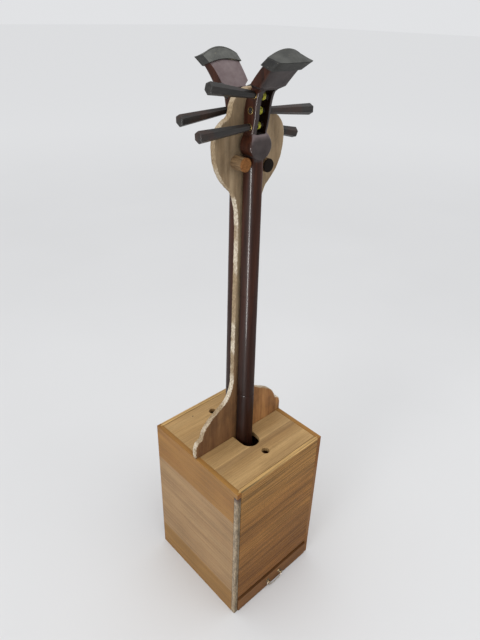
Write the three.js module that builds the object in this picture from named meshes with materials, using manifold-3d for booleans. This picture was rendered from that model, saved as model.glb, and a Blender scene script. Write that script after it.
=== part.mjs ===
// Two shamisen standing back to back in a two-place paulownia storage stand with a drawer.
// Millimetres. X runs across the drawer front, -Y is the drawer side and +Z is up.
// The origin is the centre of the stand's footprint on the floor.
import * as THREE from "three";
import { mergeVertices } from "three/addons/utils/BufferGeometryUtils.js";
import Module from "manifold-3d";

const wasm = await Module();
wasm.setup();

// ---------------------------------------------------------------- driving dimensions
const GAP = 0.3; // clearance kept between neighbouring pieces

// The case.
const WIDTH = 216;
const DEPTH = 230;
const HEIGHT = 335.5;
const BOARD = 9; // thickness of every case board
const GROOVE_DEPTH = 3; // groove in each side panel for a lift-out panel's tongue
const GROOVE_WIDTH = 3.6;
const RAIL_TOP = 41; // underside of the lift-out panels
const RAIL_HEIGHT = 5;
const RAIL_INSET = 4;
const CORNER_WEAR = 0.8; // depth of the worn band along the near corner of the left panel
const CORNER_WEAR_TOP = 325;
const SHELF_TOP = 50;
const SHELF_THICKNESS = 8;
const LEDGE = 8; // square section of the strips that carry the lids
const RUNNER_WIDTH = 12;
const RUNNER_HEIGHT = 5;

// The lids.
const NOTCH_HALF_WIDTH = 18.75;
const NOTCH_CENTRE = 30; // centre of the notch's round end, from the divider's middle
const FINGER_HOLE_RADIUS = 7.5;
const FRONT_FINGER_HOLE = { x: 2, y: -71 };
const BACK_FINGER_HOLE = { x: 1, y: 77 };

// The divider.
const CUSP = { x: 93, z: 372 };
const SHOULDER_TOP = 443;
const STEM_HALF_WIDTH = 21.5;
const STEM_TOP = 795;
const STEM_TOP_HALF_WIDTH = 25;
const DIVIDER_HEAD_HALF_WIDTH = 68;
const DIVIDER_HEAD_WIDEST = 874;
const DIVIDER_TOP = 945;
const DIVIDER_HEAD_X = 3.5; // the head of the board leans this far to the right
const DOWEL_RADIUS = 10;
// Each rest dowel: its axis and how far it stands out of each side of the divider.
const DOWELS = [
  { name: "rest_dowel_left", x: -25, z: 849, reach: 22 },
  { name: "rest_dowel_right", x: 25, z: 840, reach: 17 },
];

// The drawer and its pull.
const DRAWER_OPEN = 2; // the drawer stands a little open
const DRAWER_FRONT_TOP = 33.8;
const DRAWER_FRONT_BOTTOM = 1.5;
const DRAWER_BOARD = 6;
const DRAWER_BOX_TOP = 32;
const DRAWER_DEPTH = 205;
const DRAWER_BOTTOM_THICKNESS = 4;
const PULL_SPACING = 34;
const PULL_Z = 19.5;
const POST_LENGTH = 6.5;
const BAIL_RADIUS = 1.1;
const BAIL_DROP = 14.5;

// A shamisen, given for the one in the front bay. Its string side faces the divider.
const STRING_FACE = -8.3; // y of the neck's flat string side
const BODY_HALF_WIDTH = 88;
const BODY_BOTTOM = 70;
const BODY_TOP = 265;
const BODY_WALL = 15;
const BODY_BULGE = 3;
const SKIN_FRONT = -9;
const SKIN_THICKNESS = 1;
const BODY_DEPTH = 86;
const SPIKE_HALF_WIDTH = 9;
const SPIKE_DEPTH = 20;
const PIN_RADIUS = 7;
const LOWER_JOINT = 440;
const UPPER_JOINT = 638;
const NUT_Z = 886;
const SLOT_HALF_WIDTH = 8.6;
const SLOT_BOTTOM = 888;
const SLOT_TOP = 942;
const STRING_RADIUS = 0.55;
const STRING_TAIL_Z = 122;
const WINDING_RADIUS = 5.2;
const WINDING_LENGTH = 5;
const SHAFT_RADIUS = 3.5;
const SHAFT_START = -15.5; // just short of the head's far cheek
const HANDLE_INNER_RADIUS = 4.9;
const HANDLE_OUTER_RADIUS = 8.2;
const HANDLE_START = 17.5; // from the head's middle plane
const CAP_WALL = 2.4;
const CAP_CLEARANCE = 0.5;

// Each peg: where its axis crosses the middle plane, its side, its rise per millimetre
// outwards, its lean towards the divider per millimetre and its tip's distance out.
const FRONT_PEGS = [
  { name: "top", y: -27, z: 935.5, side: -1, rise: 0.17, lean: 0, reach: 93 },
  { name: "middle", y: -21, z: 917, side: 1, rise: -0.07, lean: 0, reach: 106 },
  { name: "bottom", y: -19.6, z: 897.5, side: -1, rise: -0.034, lean: 0, reach: 104 },
];
const BACK_PEGS = [
  { name: "top", y: -27, z: 935.5, side: -1, rise: 0.16, lean: 0, reach: 92 },
  { name: "middle", y: -21, z: 918, side: 1, rise: -0.07, lean: 0, reach: 102 },
  { name: "bottom", y: -19.6, z: 897.5, side: -1, rise: -0.21, lean: 0.07, reach: 113 },
];

// The two instruments: how much shorter the end pin is, and how the head's tail is bent.
const FRONT_SHAMISEN = { label: "front", pegs: FRONT_PEGS, drop: 0, tailShift: [-2.5, 2.5] };
const BACK_SHAMISEN = { label: "back", pegs: BACK_PEGS, drop: 3, tailShift: [3, 0.5] };

// ---------------------------------------------------------------- materials
function material(colour, roughness, metalness = 0) {
  return new THREE.MeshStandardMaterial({ color: colour, roughness, metalness });
}
const paulownia = material(0xb48a5f, 0.75);
const paleEdge = material(0xb9a583, 0.8);
const darkWood = material(0x3b2723, 0.35);
const rosewood = material(0x5a2f22, 0.4);
const pegWood = material(0x3a3a3c, 0.45);
const capLeather = material(0x474c50, 0.6);
const silk = material(0xc9c21c, 0.6);
const hide = material(0xe6dcc6, 0.7);
const ivory = material(0xe8dfc8, 0.5);
const brass = material(0x8a6a35, 0.4, 0.9);
const cordPurple = material(0x5b3a6b, 0.8);

// ---------------------------------------------------------------- solids
// A closed geometry as a manifold solid.
function solid(geometry) {
  const bare = new THREE.BufferGeometry();
  bare.setAttribute("position", geometry.getAttribute("position"));
  bare.setIndex(geometry.getIndex());
  const merged = mergeVertices(bare, 1e-4);
  return new wasm.Manifold(
    new wasm.Mesh({
      numProp: 3,
      vertProperties: merged.getAttribute("position").array,
      triVerts: new Uint32Array(merged.getIndex().array),
    }),
  );
}

// A manifold solid back as a geometry.
function geometryOf(body) {
  const mesh = body.getMesh();
  const geometry = new THREE.BufferGeometry();
  geometry.setAttribute("position", new THREE.BufferAttribute(mesh.vertProperties, 3));
  geometry.setIndex(new THREE.BufferAttribute(mesh.triVerts, 1));
  geometry.computeVertexNormals();
  return geometry;
}

function cut(body, ...tools) {
  return tools.reduce((left, tool) => left.subtract(tool), body);
}

function join(body, ...others) {
  return others.reduce((sum, other) => sum.add(other), body);
}

// A box between two x, two y and two z values.
function block(x, y, z) {
  const geometry = new THREE.BoxGeometry(x[1] - x[0], y[1] - y[0], z[1] - z[0]);
  geometry.translate((x[0] + x[1]) / 2, (y[0] + y[1]) / 2, (z[0] + z[1]) / 2);
  return solid(geometry);
}

// A shape in the XY plane, raised from one height to another.
function raise(shape, bottom, top, curveSegments = 12) {
  const settings = { depth: top - bottom, bevelEnabled: false, curveSegments };
  const geometry = new THREE.ExtrudeGeometry(shape, settings);
  geometry.translate(0, 0, bottom);
  return solid(geometry);
}

// A shape drawn as x and z, given a thickness centred on y = 0.
function upright(shape, thickness, curveSegments = 12) {
  const settings = { depth: thickness, bevelEnabled: false, curveSegments };
  const geometry = new THREE.ExtrudeGeometry(shape, settings);
  geometry.translate(0, 0, -thickness / 2);
  geometry.rotateX(Math.PI / 2);
  return solid(geometry);
}

// A turned piece: pairs of radius and height, starting and ending on the axis.
function turn(profile, segments) {
  const points = profile.map(([radius, height]) => new THREE.Vector2(radius, height));
  return new THREE.LatheGeometry(points, segments);
}

function cylinder(radius, length, segments) {
  return turn([[0, 0], [radius, 0], [radius, length], [0, length]], segments);
}

// A closed skin through rings that all have the same number of points.
function loft(rings) {
  const count = rings[0].length;
  const positions = rings.flat().flatMap((point) => [point.x, point.y, point.z]);
  const index = [];
  for (let r = 0; r < rings.length - 1; r++) {
    for (let i = 0; i < count; i++) {
      const a = r * count + i;
      const b = r * count + ((i + 1) % count);
      index.push(a, b, a + count, b, b + count, a + count);
    }
  }
  for (const [ring, base] of [[rings[0], 0], [rings.at(-1), (rings.length - 1) * count]]) {
    const centre = ring.reduce((sum, point) => sum.add(point), new THREE.Vector3());
    centre.divideScalar(count);
    const middle = positions.length / 3;
    positions.push(centre.x, centre.y, centre.z);
    for (let i = 0; i < count; i++) {
      const pair = [base + i, base + ((i + 1) % count)];
      if (base === 0) pair.reverse();
      index.push(middle, ...pair);
    }
  }
  const geometry = new THREE.BufferGeometry();
  geometry.setAttribute("position", new THREE.Float32BufferAttribute(positions, 3));
  geometry.setIndex(facesOut(positions, index) ? index : index.reverse());
  return solid(geometry);
}

// Whether a closed skin's faces point outwards: its signed volume is positive.
function facesOut(positions, index) {
  const corner = (i) => new THREE.Vector3().fromArray(positions, 3 * i);
  let volume = 0;
  for (let i = 0; i < index.length; i += 3) {
    const [a, b, c] = [corner(index[i]), corner(index[i + 1]), corner(index[i + 2])];
    volume += a.dot(b.cross(c));
  }
  return volume > 0;
}

// ---------------------------------------------------------------- the scene graph
const stand = new THREE.Group();

function add(name, body, finish, parent = stand) {
  const mesh = new THREE.Mesh(geometryOf(body), finish);
  mesh.name = name;
  parent.add(mesh);
  return mesh;
}

// ---------------------------------------------------------------- case
const innerX = WIDTH / 2 - BOARD; // inner faces of the side panels
const innerY = DEPTH / 2 - BOARD; // inner faces of the front and back panels
const dividerFace = BOARD / 2;

function addSidePanels() {
  const grooveY = innerY + BOARD / 2;
  for (const [name, side] of [["left_side_panel", -1], ["right_side_panel", 1]]) {
    const across = [innerX, WIDTH / 2].map((x) => side * x).sort((a, b) => a - b);
    const panel = block(across, [-DEPTH / 2, DEPTH / 2], [0, HEIGHT]);
    const grooves = [-grooveY, grooveY].map((y) => {
      const x = [innerX - 1, innerX + GROOVE_DEPTH].map((v) => side * v);
      const depth = [y - GROOVE_WIDTH / 2, y + GROOVE_WIDTH / 2];
      return block(x.sort((a, b) => a - b), depth, [RAIL_TOP, HEIGHT + 1]);
    });
    const worn = side < 0 ? cornerWear() : [];
    add(name, cut(panel, ...grooves, ...worn), paulownia);
  }
}

// The worn band: a shallow step on each side of the left panel's front corner.
function cornerWear() {
  const [x, y] = [-WIDTH / 2, -DEPTH / 2];
  const [deep, wide] = [CORNER_WEAR, BOARD];
  const onSide = block([x - 1, x + deep], [y - 1, y + wide], [-1, CORNER_WEAR_TOP]);
  const onFront = block([x - 1, x + wide + 1], [y - 1, y + deep], [-1, CORNER_WEAR_TOP]);
  return [onSide, onFront];
}

// A lift-out panel with a tongue on each edge, running in the side panels' grooves.
function addLiftPanel(name, side) {
  const half = innerX - GAP;
  const y = [side * (innerY + GAP), (side * DEPTH) / 2].sort((a, b) => a - b);
  const tongueHalf = GROOVE_WIDTH / 2 - GAP;
  const tongueY = side * (innerY + BOARD / 2);
  const reach = innerX + GROOVE_DEPTH - GAP;
  const height = [RAIL_TOP + GAP, HEIGHT];
  const tongues = block([-reach, reach], [tongueY - tongueHalf, tongueY + tongueHalf], height);
  add(name, join(block([-half, half], y, height), tongues), paulownia);
}

// A lid with a finger hole and a U-shaped notch, open to the divider, for the neck.
function addLid(name, side, hole) {
  const half = innerX - GAP;
  const near = dividerFace + GAP;
  const far = innerY - GAP;
  const outline = new THREE.Shape();
  outline.moveTo(-half, near);
  outline.lineTo(-NOTCH_HALF_WIDTH, near);
  outline.lineTo(-NOTCH_HALF_WIDTH, NOTCH_CENTRE);
  outline.absarc(0, NOTCH_CENTRE, NOTCH_HALF_WIDTH, Math.PI, 0, true);
  outline.lineTo(NOTCH_HALF_WIDTH, near);
  outline.lineTo(half, near);
  outline.lineTo(half, far);
  outline.lineTo(-half, far);
  const opening = new THREE.Path();
  opening.absarc(side * hole.x, side * hole.y, FINGER_HOLE_RADIUS, 0, 2 * Math.PI, false);
  outline.holes.push(opening);
  const lid = raise(outline, HEIGHT - BOARD, HEIGHT, 14);
  add(name, side > 0 ? lid : lid.rotate([0, 0, 180]), paulownia);
}

function addCaseFittings() {
  const half = innerX - GAP;
  const rail = [RAIL_TOP - RAIL_HEIGHT, RAIL_TOP];
  add("front_rail", block([-half, half], [RAIL_INSET - DEPTH / 2, -innerY], rail), paulownia);
  add("back_base_board", block([-half, half], [innerY, DEPTH / 2], [0, RAIL_TOP]), paulownia);
  const shelfY = innerY - GAP;
  const shelfZ = [SHELF_TOP - SHELF_THICKNESS, SHELF_TOP];
  add("shelf", block([-half, half], [-shelfY, shelfY], shelfZ), paulownia);
  const ledgeTop = HEIGHT - BOARD - GAP;
  for (const [side, label] of [[-1, "left"], [1, "right"]]) {
    const strip = [half, half - LEDGE].map((x) => side * x).sort((a, b) => a - b);
    const ledge = block(strip, [-shelfY, shelfY], [ledgeTop - LEDGE, ledgeTop]);
    add(`lid_ledge_${label}`, ledge, paulownia);
    const track = [half, half - RUNNER_WIDTH].map((x) => side * x).sort((a, b) => a - b);
    const runner = block(track, [-shelfY, shelfY], [0, RUNNER_HEIGHT]);
    add(`drawer_runner_${label}`, runner, paulownia);
  }
}

// ---------------------------------------------------------------- divider
// One half of the outline above the case, from the right-hand foot to the top.
function drawDividerHalf(shape) {
  shape.lineTo(WIDTH / 2, HEIGHT + 16);
  shape.quadraticCurveTo(WIDTH / 2, CUSP.z - 4, CUSP.x, CUSP.z);
  shape.bezierCurveTo(91, 388, 79, 402, 58, 414);
  shape.bezierCurveTo(42, 423, 26, 428, STEM_HALF_WIDTH, SHOULDER_TOP + 22);
  shape.lineTo(STEM_HALF_WIDTH, STEM_TOP - 60);
  shape.bezierCurveTo(22, STEM_TOP - 20, STEM_TOP_HALF_WIDTH, STEM_TOP - 5, 34, STEM_TOP + 11);
  const widest = DIVIDER_HEAD_HALF_WIDTH;
  shape.bezierCurveTo(52, 822, widest, 838, widest, DIVIDER_HEAD_WIDEST);
  shape.bezierCurveTo(widest, 890, 60, 902, 46, 907);
  shape.bezierCurveTo(41, 909, 39, 912, 38, 919);
  shape.bezierCurveTo(37, 934, 22, DIVIDER_TOP, 0, DIVIDER_TOP);
}

// The board's sideways lean at a height, from the shoulders to the head.
function leanAt(z) {
  return DIVIDER_HEAD_X * THREE.MathUtils.smoothstep(z, SHOULDER_TOP, STEM_TOP);
}

function addDivider() {
  const half = innerX - GAP;
  const right = new THREE.Shape();
  right.moveTo(0, HEIGHT + GAP);
  right.lineTo(WIDTH / 2, HEIGHT + GAP);
  drawDividerHalf(right);
  const points = right.getPoints(9).slice(1);
  const mirrored = points.slice(0, -1).reverse().map((p) => new THREE.Vector2(-p.x, p.y));
  const leaning = [...points, ...mirrored].map((p) => new THREE.Vector2(p.x + leanAt(p.y), p.y));
  const outline = new THREE.Shape(leaning);
  const upper = upright(outline, BOARD);
  const foot = block([-half, half], [-dividerFace, dividerFace], [SHELF_TOP + GAP, HEIGHT + 1]);
  const ledgeTop = HEIGHT - BOARD;
  const ledgeZ = [ledgeTop - LEDGE - 2 * GAP, ledgeTop];
  const ledgeSlots = [-1, 1].map((side) => {
    const x = [half - LEDGE - GAP, half + 1].map((v) => side * v).sort((a, b) => a - b);
    return block(x, [-BOARD, BOARD], ledgeZ);
  });
  const holes = DOWELS.map((dowel) => {
    const rod = solid(cylinder(DOWEL_RADIUS + GAP, 4 * BOARD, 24));
    return rod.translate([dowel.x, -2 * BOARD, dowel.z]);
  });
  add("divider_board", cut(join(upper, foot), ...ledgeSlots, ...holes), paleEdge);
}

// Two rods through the divider, standing out on both sides beside each neck.
function addRestDowels() {
  const bevel = 1.2;
  for (const dowel of DOWELS) {
    const end = dividerFace + dowel.reach;
    const profile = [
      [0, -end], [DOWEL_RADIUS - bevel, -end], [DOWEL_RADIUS, bevel - end],
      [DOWEL_RADIUS, end - bevel], [DOWEL_RADIUS - bevel, end], [0, end],
    ];
    add(dowel.name, solid(turn(profile, 24)).translate([dowel.x, 0, dowel.z]), paleEdge);
  }
}

// ---------------------------------------------------------------- drawer
function addDrawer() {
  const drawer = new THREE.Group();
  drawer.position.y = -DRAWER_OPEN;
  stand.add(drawer);
  const frontHalf = innerX - 0.5;
  const boxHalf = innerX - 1.5;
  const boxBottom = RUNNER_HEIGHT + GAP;
  const frontY = [-DEPTH / 2, -innerY];
  const boxStart = -innerY + GAP;
  const boxEnd = boxStart + DRAWER_DEPTH;
  const frontZ = [DRAWER_FRONT_BOTTOM, DRAWER_FRONT_TOP];
  const boxZ = [boxBottom, DRAWER_BOX_TOP];
  add("drawer_front", block([-frontHalf, frontHalf], frontY, frontZ), paulownia, drawer);
  for (const [label, side] of [["left", -1], ["right", 1]]) {
    const x = [boxHalf, boxHalf - DRAWER_BOARD].map((v) => side * v).sort((a, b) => a - b);
    add(`drawer_side_${label}`, block(x, [boxStart, boxEnd], boxZ), paulownia, drawer);
  }
  const between = boxHalf - DRAWER_BOARD - GAP;
  const backY = [boxEnd - DRAWER_BOARD, boxEnd];
  add("drawer_back", block([-between, between], backY, boxZ), paulownia, drawer);
  const floorY = [boxStart, boxEnd - DRAWER_BOARD - GAP];
  const floorZ = [boxBottom, boxBottom + DRAWER_BOTTOM_THICKNESS];
  add("drawer_bottom", block([-between, between], floorY, floorZ), paulownia, drawer);
  addPull(drawer);
}

// Two eye posts on the drawer front and the wire bail that hangs between them.
function addPull(drawer) {
  const face = -DEPTH / 2 - GAP;
  const eyeY = face - POST_LENGTH + 2;
  const profile = [
    [0, 0], [4.2, 0], [4, 0.8], [1.9, 1.2], [1.9, POST_LENGTH - 4],
    [3, POST_LENGTH - 3], [3, POST_LENGTH - 0.5], [2.2, POST_LENGTH + 0.6], [0, POST_LENGTH + 0.9],
  ];
  for (const [label, side] of [["left", -1], ["right", 1]]) {
    const post = solid(turn(profile, 16)).rotate([180, 0, 0]);
    const x = (side * PULL_SPACING) / 2;
    const bore = solid(cylinder(BAIL_RADIUS + GAP, 20, 12)).rotate([0, 0, 90]);
    const placed = post.translate([x, face, PULL_Z]);
    const drilled = cut(placed, bore.translate([x + 10, eyeY, PULL_Z]));
    add(`pull_post_${label}`, drilled, brass, drawer);
  }
  add("pull_bail", bail(eyeY), brass, drawer);
}

// The bail: a straight pin through each eye, joined by one bow of wire that hangs down.
function bail(eyeY) {
  const half = PULL_SPACING / 2 + 5.4;
  const steps = 28;
  const pin = [half - 8.4, half - 5, half - 3, half - 2.1];
  const points = pin.map((x) => new THREE.Vector3(x, eyeY, PULL_Z));
  for (let i = 1; i < steps; i++) {
    const angle = (Math.PI * i) / steps;
    const drop = BAIL_DROP * Math.sin(angle) ** 0.8;
    points.push(new THREE.Vector3(half * Math.cos(angle), eyeY, PULL_Z - drop));
  }
  for (const x of pin.reverse()) points.push(new THREE.Vector3(-x, eyeY, PULL_Z));
  return tube(new THREE.CatmullRomCurve3(points, false, "centripetal"), BAIL_RADIUS, 90, 8);
}

// A round wire or cord along a curve.
function tube(curve, radius, steps, sides) {
  const section = new THREE.Shape();
  for (let i = 0; i < sides; i++) {
    const angle = (2 * Math.PI * i) / sides;
    const corner = [radius * Math.cos(angle), radius * Math.sin(angle)];
    if (i === 0) section.moveTo(...corner);
    else section.lineTo(...corner);
  }
  const settings = { steps, bevelEnabled: false, extrudePath: curve };
  return solid(new THREE.ExtrudeGeometry(section, settings));
}

// ---------------------------------------------------------------- shamisen: neck and head
// A section of the neck or head: a flat line on the string side, and an outer side whose
// corners are rounder the smaller the power. The crown lifts the middle of the string side.
function section({ string, outer, half, power, crown = [0, 0] }) {
  const flat = 6;
  const round = 14;
  const points = [];
  const place = (x, inset) => {
    const share = 1 - (x / half) ** 2;
    const lift = share * (1 - inset);
    const y = string[0] + inset * (outer[0] - string[0]) + lift * crown[0];
    const z = string[1] + inset * (outer[1] - string[1]) + lift * crown[1];
    points.push(new THREE.Vector3(x, y, z));
  };
  for (let i = 0; i <= flat; i++) place(half - (2 * half * i) / flat, 0);
  for (let i = 1; i < round; i++) {
    const angle = Math.PI - (Math.PI * i) / round;
    const reach = Math.sign(Math.cos(angle)) * Math.abs(Math.cos(angle)) ** (2 / power);
    place(half * reach, Math.sin(angle) ** (2 / power));
  }
  return points;
}

// A level section of the neck: height, half width, y of the round back, and corner power.
function level(z, half, back, power, face = STRING_FACE) {
  return section({ string: [face, z], outer: [back, z], half, power });
}

// The neck's half width and back between the body and the head.
function neckAt(z) {
  const share = (z - BODY_TOP) / (850 - BODY_TOP);
  return level(z, 14.4 - 1.1 * share, -32 + 3.8 * share, 2.5);
}

// The head's flared tail beyond the peg box. Each entry has the string-side and outer edge
// (y, z) and the half width.
const TAIL = [
  { string: [-23, 946.5], outer: [-42, 944.5], half: 16.2 },
  { string: [-27.5, 950.8], outer: [-47.6, 947.7], half: 24.2 },
  { string: [-38.5, 962.5], outer: [-56, 957.5], half: 25 },
  { string: [-50.5, 972.8], outer: [-65.5, 968], half: 26.8 },
  { string: [-61.8, 980.6], outer: [-79, 976.6], half: 28.6 },
];
const TAIL_POWER = 9;
const TAIL_CROWN = [-2.6, 9];
const TAIL_DIRECTION = [-0.83, 0.56];
const CAP_RIM = 3; // the entry of TAIL where the cap's rim lies

// A tail section made larger all round, and pushed along the tail.
function grownSection(entry, grow, push, crown) {
  const across = new THREE.Vector2(
    entry.string[0] - entry.outer[0],
    entry.string[1] - entry.outer[1],
  ).normalize();
  const moved = (point, sign) => [
    point[0] + sign * grow * across.x + push * TAIL_DIRECTION[0],
    point[1] + sign * grow * across.y + push * TAIL_DIRECTION[1],
  ];
  return section({
    string: moved(entry.string, 1),
    outer: moved(entry.outer, -1),
    half: entry.half + grow,
    power: TAIL_POWER,
    crown,
  });
}

// The crown grows towards the end of the tail.
function crownAt(index) {
  const share = Math.max(0, index - 1) / (TAIL.length - 2);
  return TAIL_CROWN.map((value) => value * share ** 2);
}

// The tail from one entry to its end. The shift bends it a little in y and z.
function tailSections(shift, grow, push, first) {
  return TAIL.slice(first).map((entry, i) => {
    const index = first + i;
    const share = index / (TAIL.length - 1);
    const bend = (point) => point.map((value, axis) => value + share * shift[axis]);
    const bent = { ...entry, string: bend(entry.string), outer: bend(entry.outer) };
    return grownSection(bent, grow, share === 1 ? push : 0, crownAt(index));
  });
}

// The upper neck and the head, carved from one piece.
function upperNeck(shift) {
  const rings = [
    neckAt(UPPER_JOINT + GAP),
    neckAt(740),
    neckAt(848),
    neckAt(852),
    level(870, 13.6, -28, 3),
    level(889, 14.8, -27, 6),
    level(897, 14.6, -28.5, 8),
    level(909, 14.7, -30.8, 8),
    level(920, 15.1, -32.2, 8, -9.6),
    section({ string: [-12.5, 931], outer: [-34, 931], half: 15.6, power: 8 }),
    section({ string: [-18, 941], outer: [-37.4, 940.4], half: 15.8, power: 8 }),
    ...tailSections(shift, 0, 0, 0),
  ];
  return join(loft(rings), eggBoss());
}

// The egg-shaped boss under the peg box, which stands proud of the neck's round back.
// Each entry has its height, half width and back.
function eggBoss() {
  const entries = [
    [853, 4, -29.6], [854.2, 8.5, -30], [857, 13.2, -30.6], [861.5, 17.4, -31],
    [867, 20.2, -31.2], [872, 20.8, -31.2], [878, 19.6, -30.4], [884, 16.8, -28.8],
    [889, 13.5, -26],
  ];
  return loft(entries.map(([z, half, back]) => level(z, half, back, 9)));
}

// The peg box: an open slot that leans with the head and runs right through it.
function pegSlot() {
  const half = SLOT_HALF_WIDTH;
  const side = new THREE.Shape();
  side.moveTo(0, SLOT_BOTTOM);
  side.lineTo(-50, SLOT_BOTTOM - 2);
  side.lineTo(-50, SLOT_TOP + 3.5);
  side.lineTo(-38, SLOT_TOP + 1.5);
  side.lineTo(-17, SLOT_TOP + 3);
  side.lineTo(0, SLOT_TOP + 3);
  const settings = { depth: 2 * half, bevelEnabled: false };
  const geometry = new THREE.ExtrudeGeometry(side, settings);
  geometry.translate(0, 0, -half);
  geometry.rotateX(Math.PI / 2);
  geometry.rotateZ(Math.PI / 2);
  return solid(geometry);
}

function headCap(shift) {
  const shell = loft(tailSections(shift, CAP_WALL, CAP_WALL, CAP_RIM));
  const hollow = loft(tailSections(shift, CAP_CLEARANCE, CAP_CLEARANCE, CAP_RIM - 1));
  return cut(shell, hollow);
}

// ---------------------------------------------------------------- shamisen: pegs
// The rotation and place that bring a piece built along +Y onto a peg's axis.
function onPegAxis(body, peg) {
  const direction = new THREE.Vector3(peg.side, peg.lean, peg.rise).normalize();
  const turned = new THREE.Quaternion().setFromUnitVectors(new THREE.Vector3(0, 1, 0), direction);
  const matrix = new THREE.Matrix4().makeRotationFromQuaternion(turned);
  matrix.setPosition(0, peg.y, peg.z);
  return solid(body.clone().applyMatrix4(matrix));
}

// A six-sided tapered handle on a round shaft that crosses the peg box.
function pegBody(peg) {
  const reach = peg.reach * Math.hypot(1, peg.lean, peg.rise);
  const bevel = 1.4;
  const shaftEnd = HANDLE_START + 3;
  const shaftProfile = [
    [0, SHAFT_START], [SHAFT_RADIUS - 0.3, SHAFT_START], [SHAFT_RADIUS, shaftEnd], [0, shaftEnd],
  ];
  const handleProfile = [
    [0, HANDLE_START], [HANDLE_INNER_RADIUS, HANDLE_START], [HANDLE_OUTER_RADIUS, reach - bevel],
    [HANDLE_OUTER_RADIUS - bevel, reach], [0, reach + 0.5],
  ];
  const shaft = onPegAxis(turn(shaftProfile, 20), peg);
  return join(shaft, onPegAxis(turn(handleProfile, 6), peg));
}

function pegBore(peg) {
  const bore = cylinder(SHAFT_RADIUS + GAP, 40, 20);
  bore.translate(0, -20, 0);
  return onPegAxis(bore, peg);
}

// ---------------------------------------------------------------- shamisen: strings
// A string from the tail cord, along the neck, over the nut and into its turns on a peg.
function stringBody(peg, xTail, xNut, xPeg) {
  const tangent = peg.y + WINDING_RADIUS - 2 * STRING_RADIUS;
  const overNut = STRING_FACE + 2.4;
  const onSkin = STRING_FACE + 1.4;
  const points = [
    [xTail, onSkin, STRING_TAIL_Z],
    [(xTail + xNut) / 2, onSkin + 0.5, (STRING_TAIL_Z + NUT_Z) / 2],
    [xNut, overNut, NUT_Z - 1.5],
    [xNut, overNut, NUT_Z + 1.5],
    [xPeg, tangent, peg.z - 1],
  ].map((point) => new THREE.Vector3(...point));
  const run = points.slice(1).map((end, i) => strut(points[i], end, STRING_RADIUS));
  return join(winding(peg), ...run);
}

// A straight eight-sided stretch of string, a little long so that stretches join.
function strut(from, to, radius) {
  const along = to.clone().sub(from);
  const extra = radius * 0.6;
  const geometry = cylinder(radius, along.length() + 2 * extra, 8);
  geometry.translate(0, -extra, 0);
  const turned = new THREE.Quaternion().setFromUnitVectors(
    new THREE.Vector3(0, 1, 0),
    along.clone().normalize(),
  );
  const matrix = new THREE.Matrix4().makeRotationFromQuaternion(turned);
  matrix.setPosition(from);
  return solid(geometry.applyMatrix4(matrix));
}

// The turns on a peg: a ridged ring around the shaft.
function winding(peg) {
  const inner = SHAFT_RADIUS + GAP;
  const half = WINDING_LENGTH / 2;
  const turns = 4;
  const pitch = WINDING_LENGTH / turns;
  const profile = [[inner, -half]];
  for (let i = 0; i < turns; i++) {
    const start = -half + i * pitch;
    profile.push([WINDING_RADIUS - 0.5, start], [WINDING_RADIUS, start + pitch / 2]);
  }
  profile.push([WINDING_RADIUS - 0.5, half], [inner, half], [inner, -half]);
  return onPegAxis(turn(profile, 20), peg);
}

// ---------------------------------------------------------------- shamisen: body
// A straight-grained side of the body with a slightly bulging outer face, mitred at 45
// degrees. Built as the top side and turned into place by its caller.
function bodySide(halfLength, halfOther) {
  const outline = new THREE.Shape();
  const inner = halfOther - BODY_WALL;
  const miter = halfLength - BODY_WALL;
  outline.moveTo(-miter + GAP, inner);
  outline.lineTo(miter - GAP, inner);
  outline.lineTo(halfLength - GAP, halfOther);
  outline.quadraticCurveTo(0, halfOther + 2 * BODY_BULGE, -halfLength + GAP, halfOther);
  return upright(outline, BODY_DEPTH, 10);
}

function addBody(instrument, label, pin) {
  const halfHeight = (BODY_TOP - BODY_BOTTOM) / 2;
  const centreZ = (BODY_TOP + BODY_BOTTOM) / 2;
  const centreY = SKIN_FRONT - SKIN_THICKNESS - GAP - BODY_DEPTH / 2;
  const place = (body) => body.translate([0, centreY, centreZ]);
  const spikeY = [STRING_FACE - SPIKE_DEPTH - 6, STRING_FACE - 6];
  const width = [-SPIKE_HALF_WIDTH - GAP, SPIKE_HALF_WIDTH + GAP];
  const depth = [spikeY[0] - GAP, spikeY[1] + GAP];
  const passage = block(width, depth, [BODY_BOTTOM - 10, BODY_TOP + 10]);
  const top = place(bodySide(BODY_HALF_WIDTH, halfHeight));
  const bottom = place(bodySide(BODY_HALF_WIDTH, halfHeight).rotate([0, 180, 0]));
  const right = place(bodySide(halfHeight, BODY_HALF_WIDTH).rotate([0, 90, 0]));
  const left = place(bodySide(halfHeight, BODY_HALF_WIDTH).rotate([0, -90, 0]));
  add(`${label}_body_top`, cut(top, passage), rosewood, instrument);
  add(`${label}_body_bottom`, cut(bottom, passage), rosewood, instrument);
  add(`${label}_body_right`, right, rosewood, instrument);
  add(`${label}_body_left`, left, rosewood, instrument);
  const back = centreY - BODY_DEPTH / 2 - GAP;
  addSkin(instrument, `${label}_front_skin`, SKIN_FRONT - SKIN_THICKNESS);
  addSkin(instrument, `${label}_back_skin`, back - SKIN_THICKNESS);
  const cordBottom = BODY_BOTTOM + 4;
  const cordTop = STRING_TAIL_Z - 2 * GAP - STRING_RADIUS;
  const tail = new THREE.Shape();
  tail.moveTo(-7, cordBottom);
  tail.lineTo(7, cordBottom);
  tail.lineTo(12, cordTop);
  tail.lineTo(-12, cordTop);
  const tailY = SKIN_FRONT + GAP + 1;
  add(`${label}_tail_cord`, upright(tail, 2).translate([0, tailY, 0]), cordPurple, instrument);
  addLowerNeck(instrument, label, spikeY, pin);
}

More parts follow.
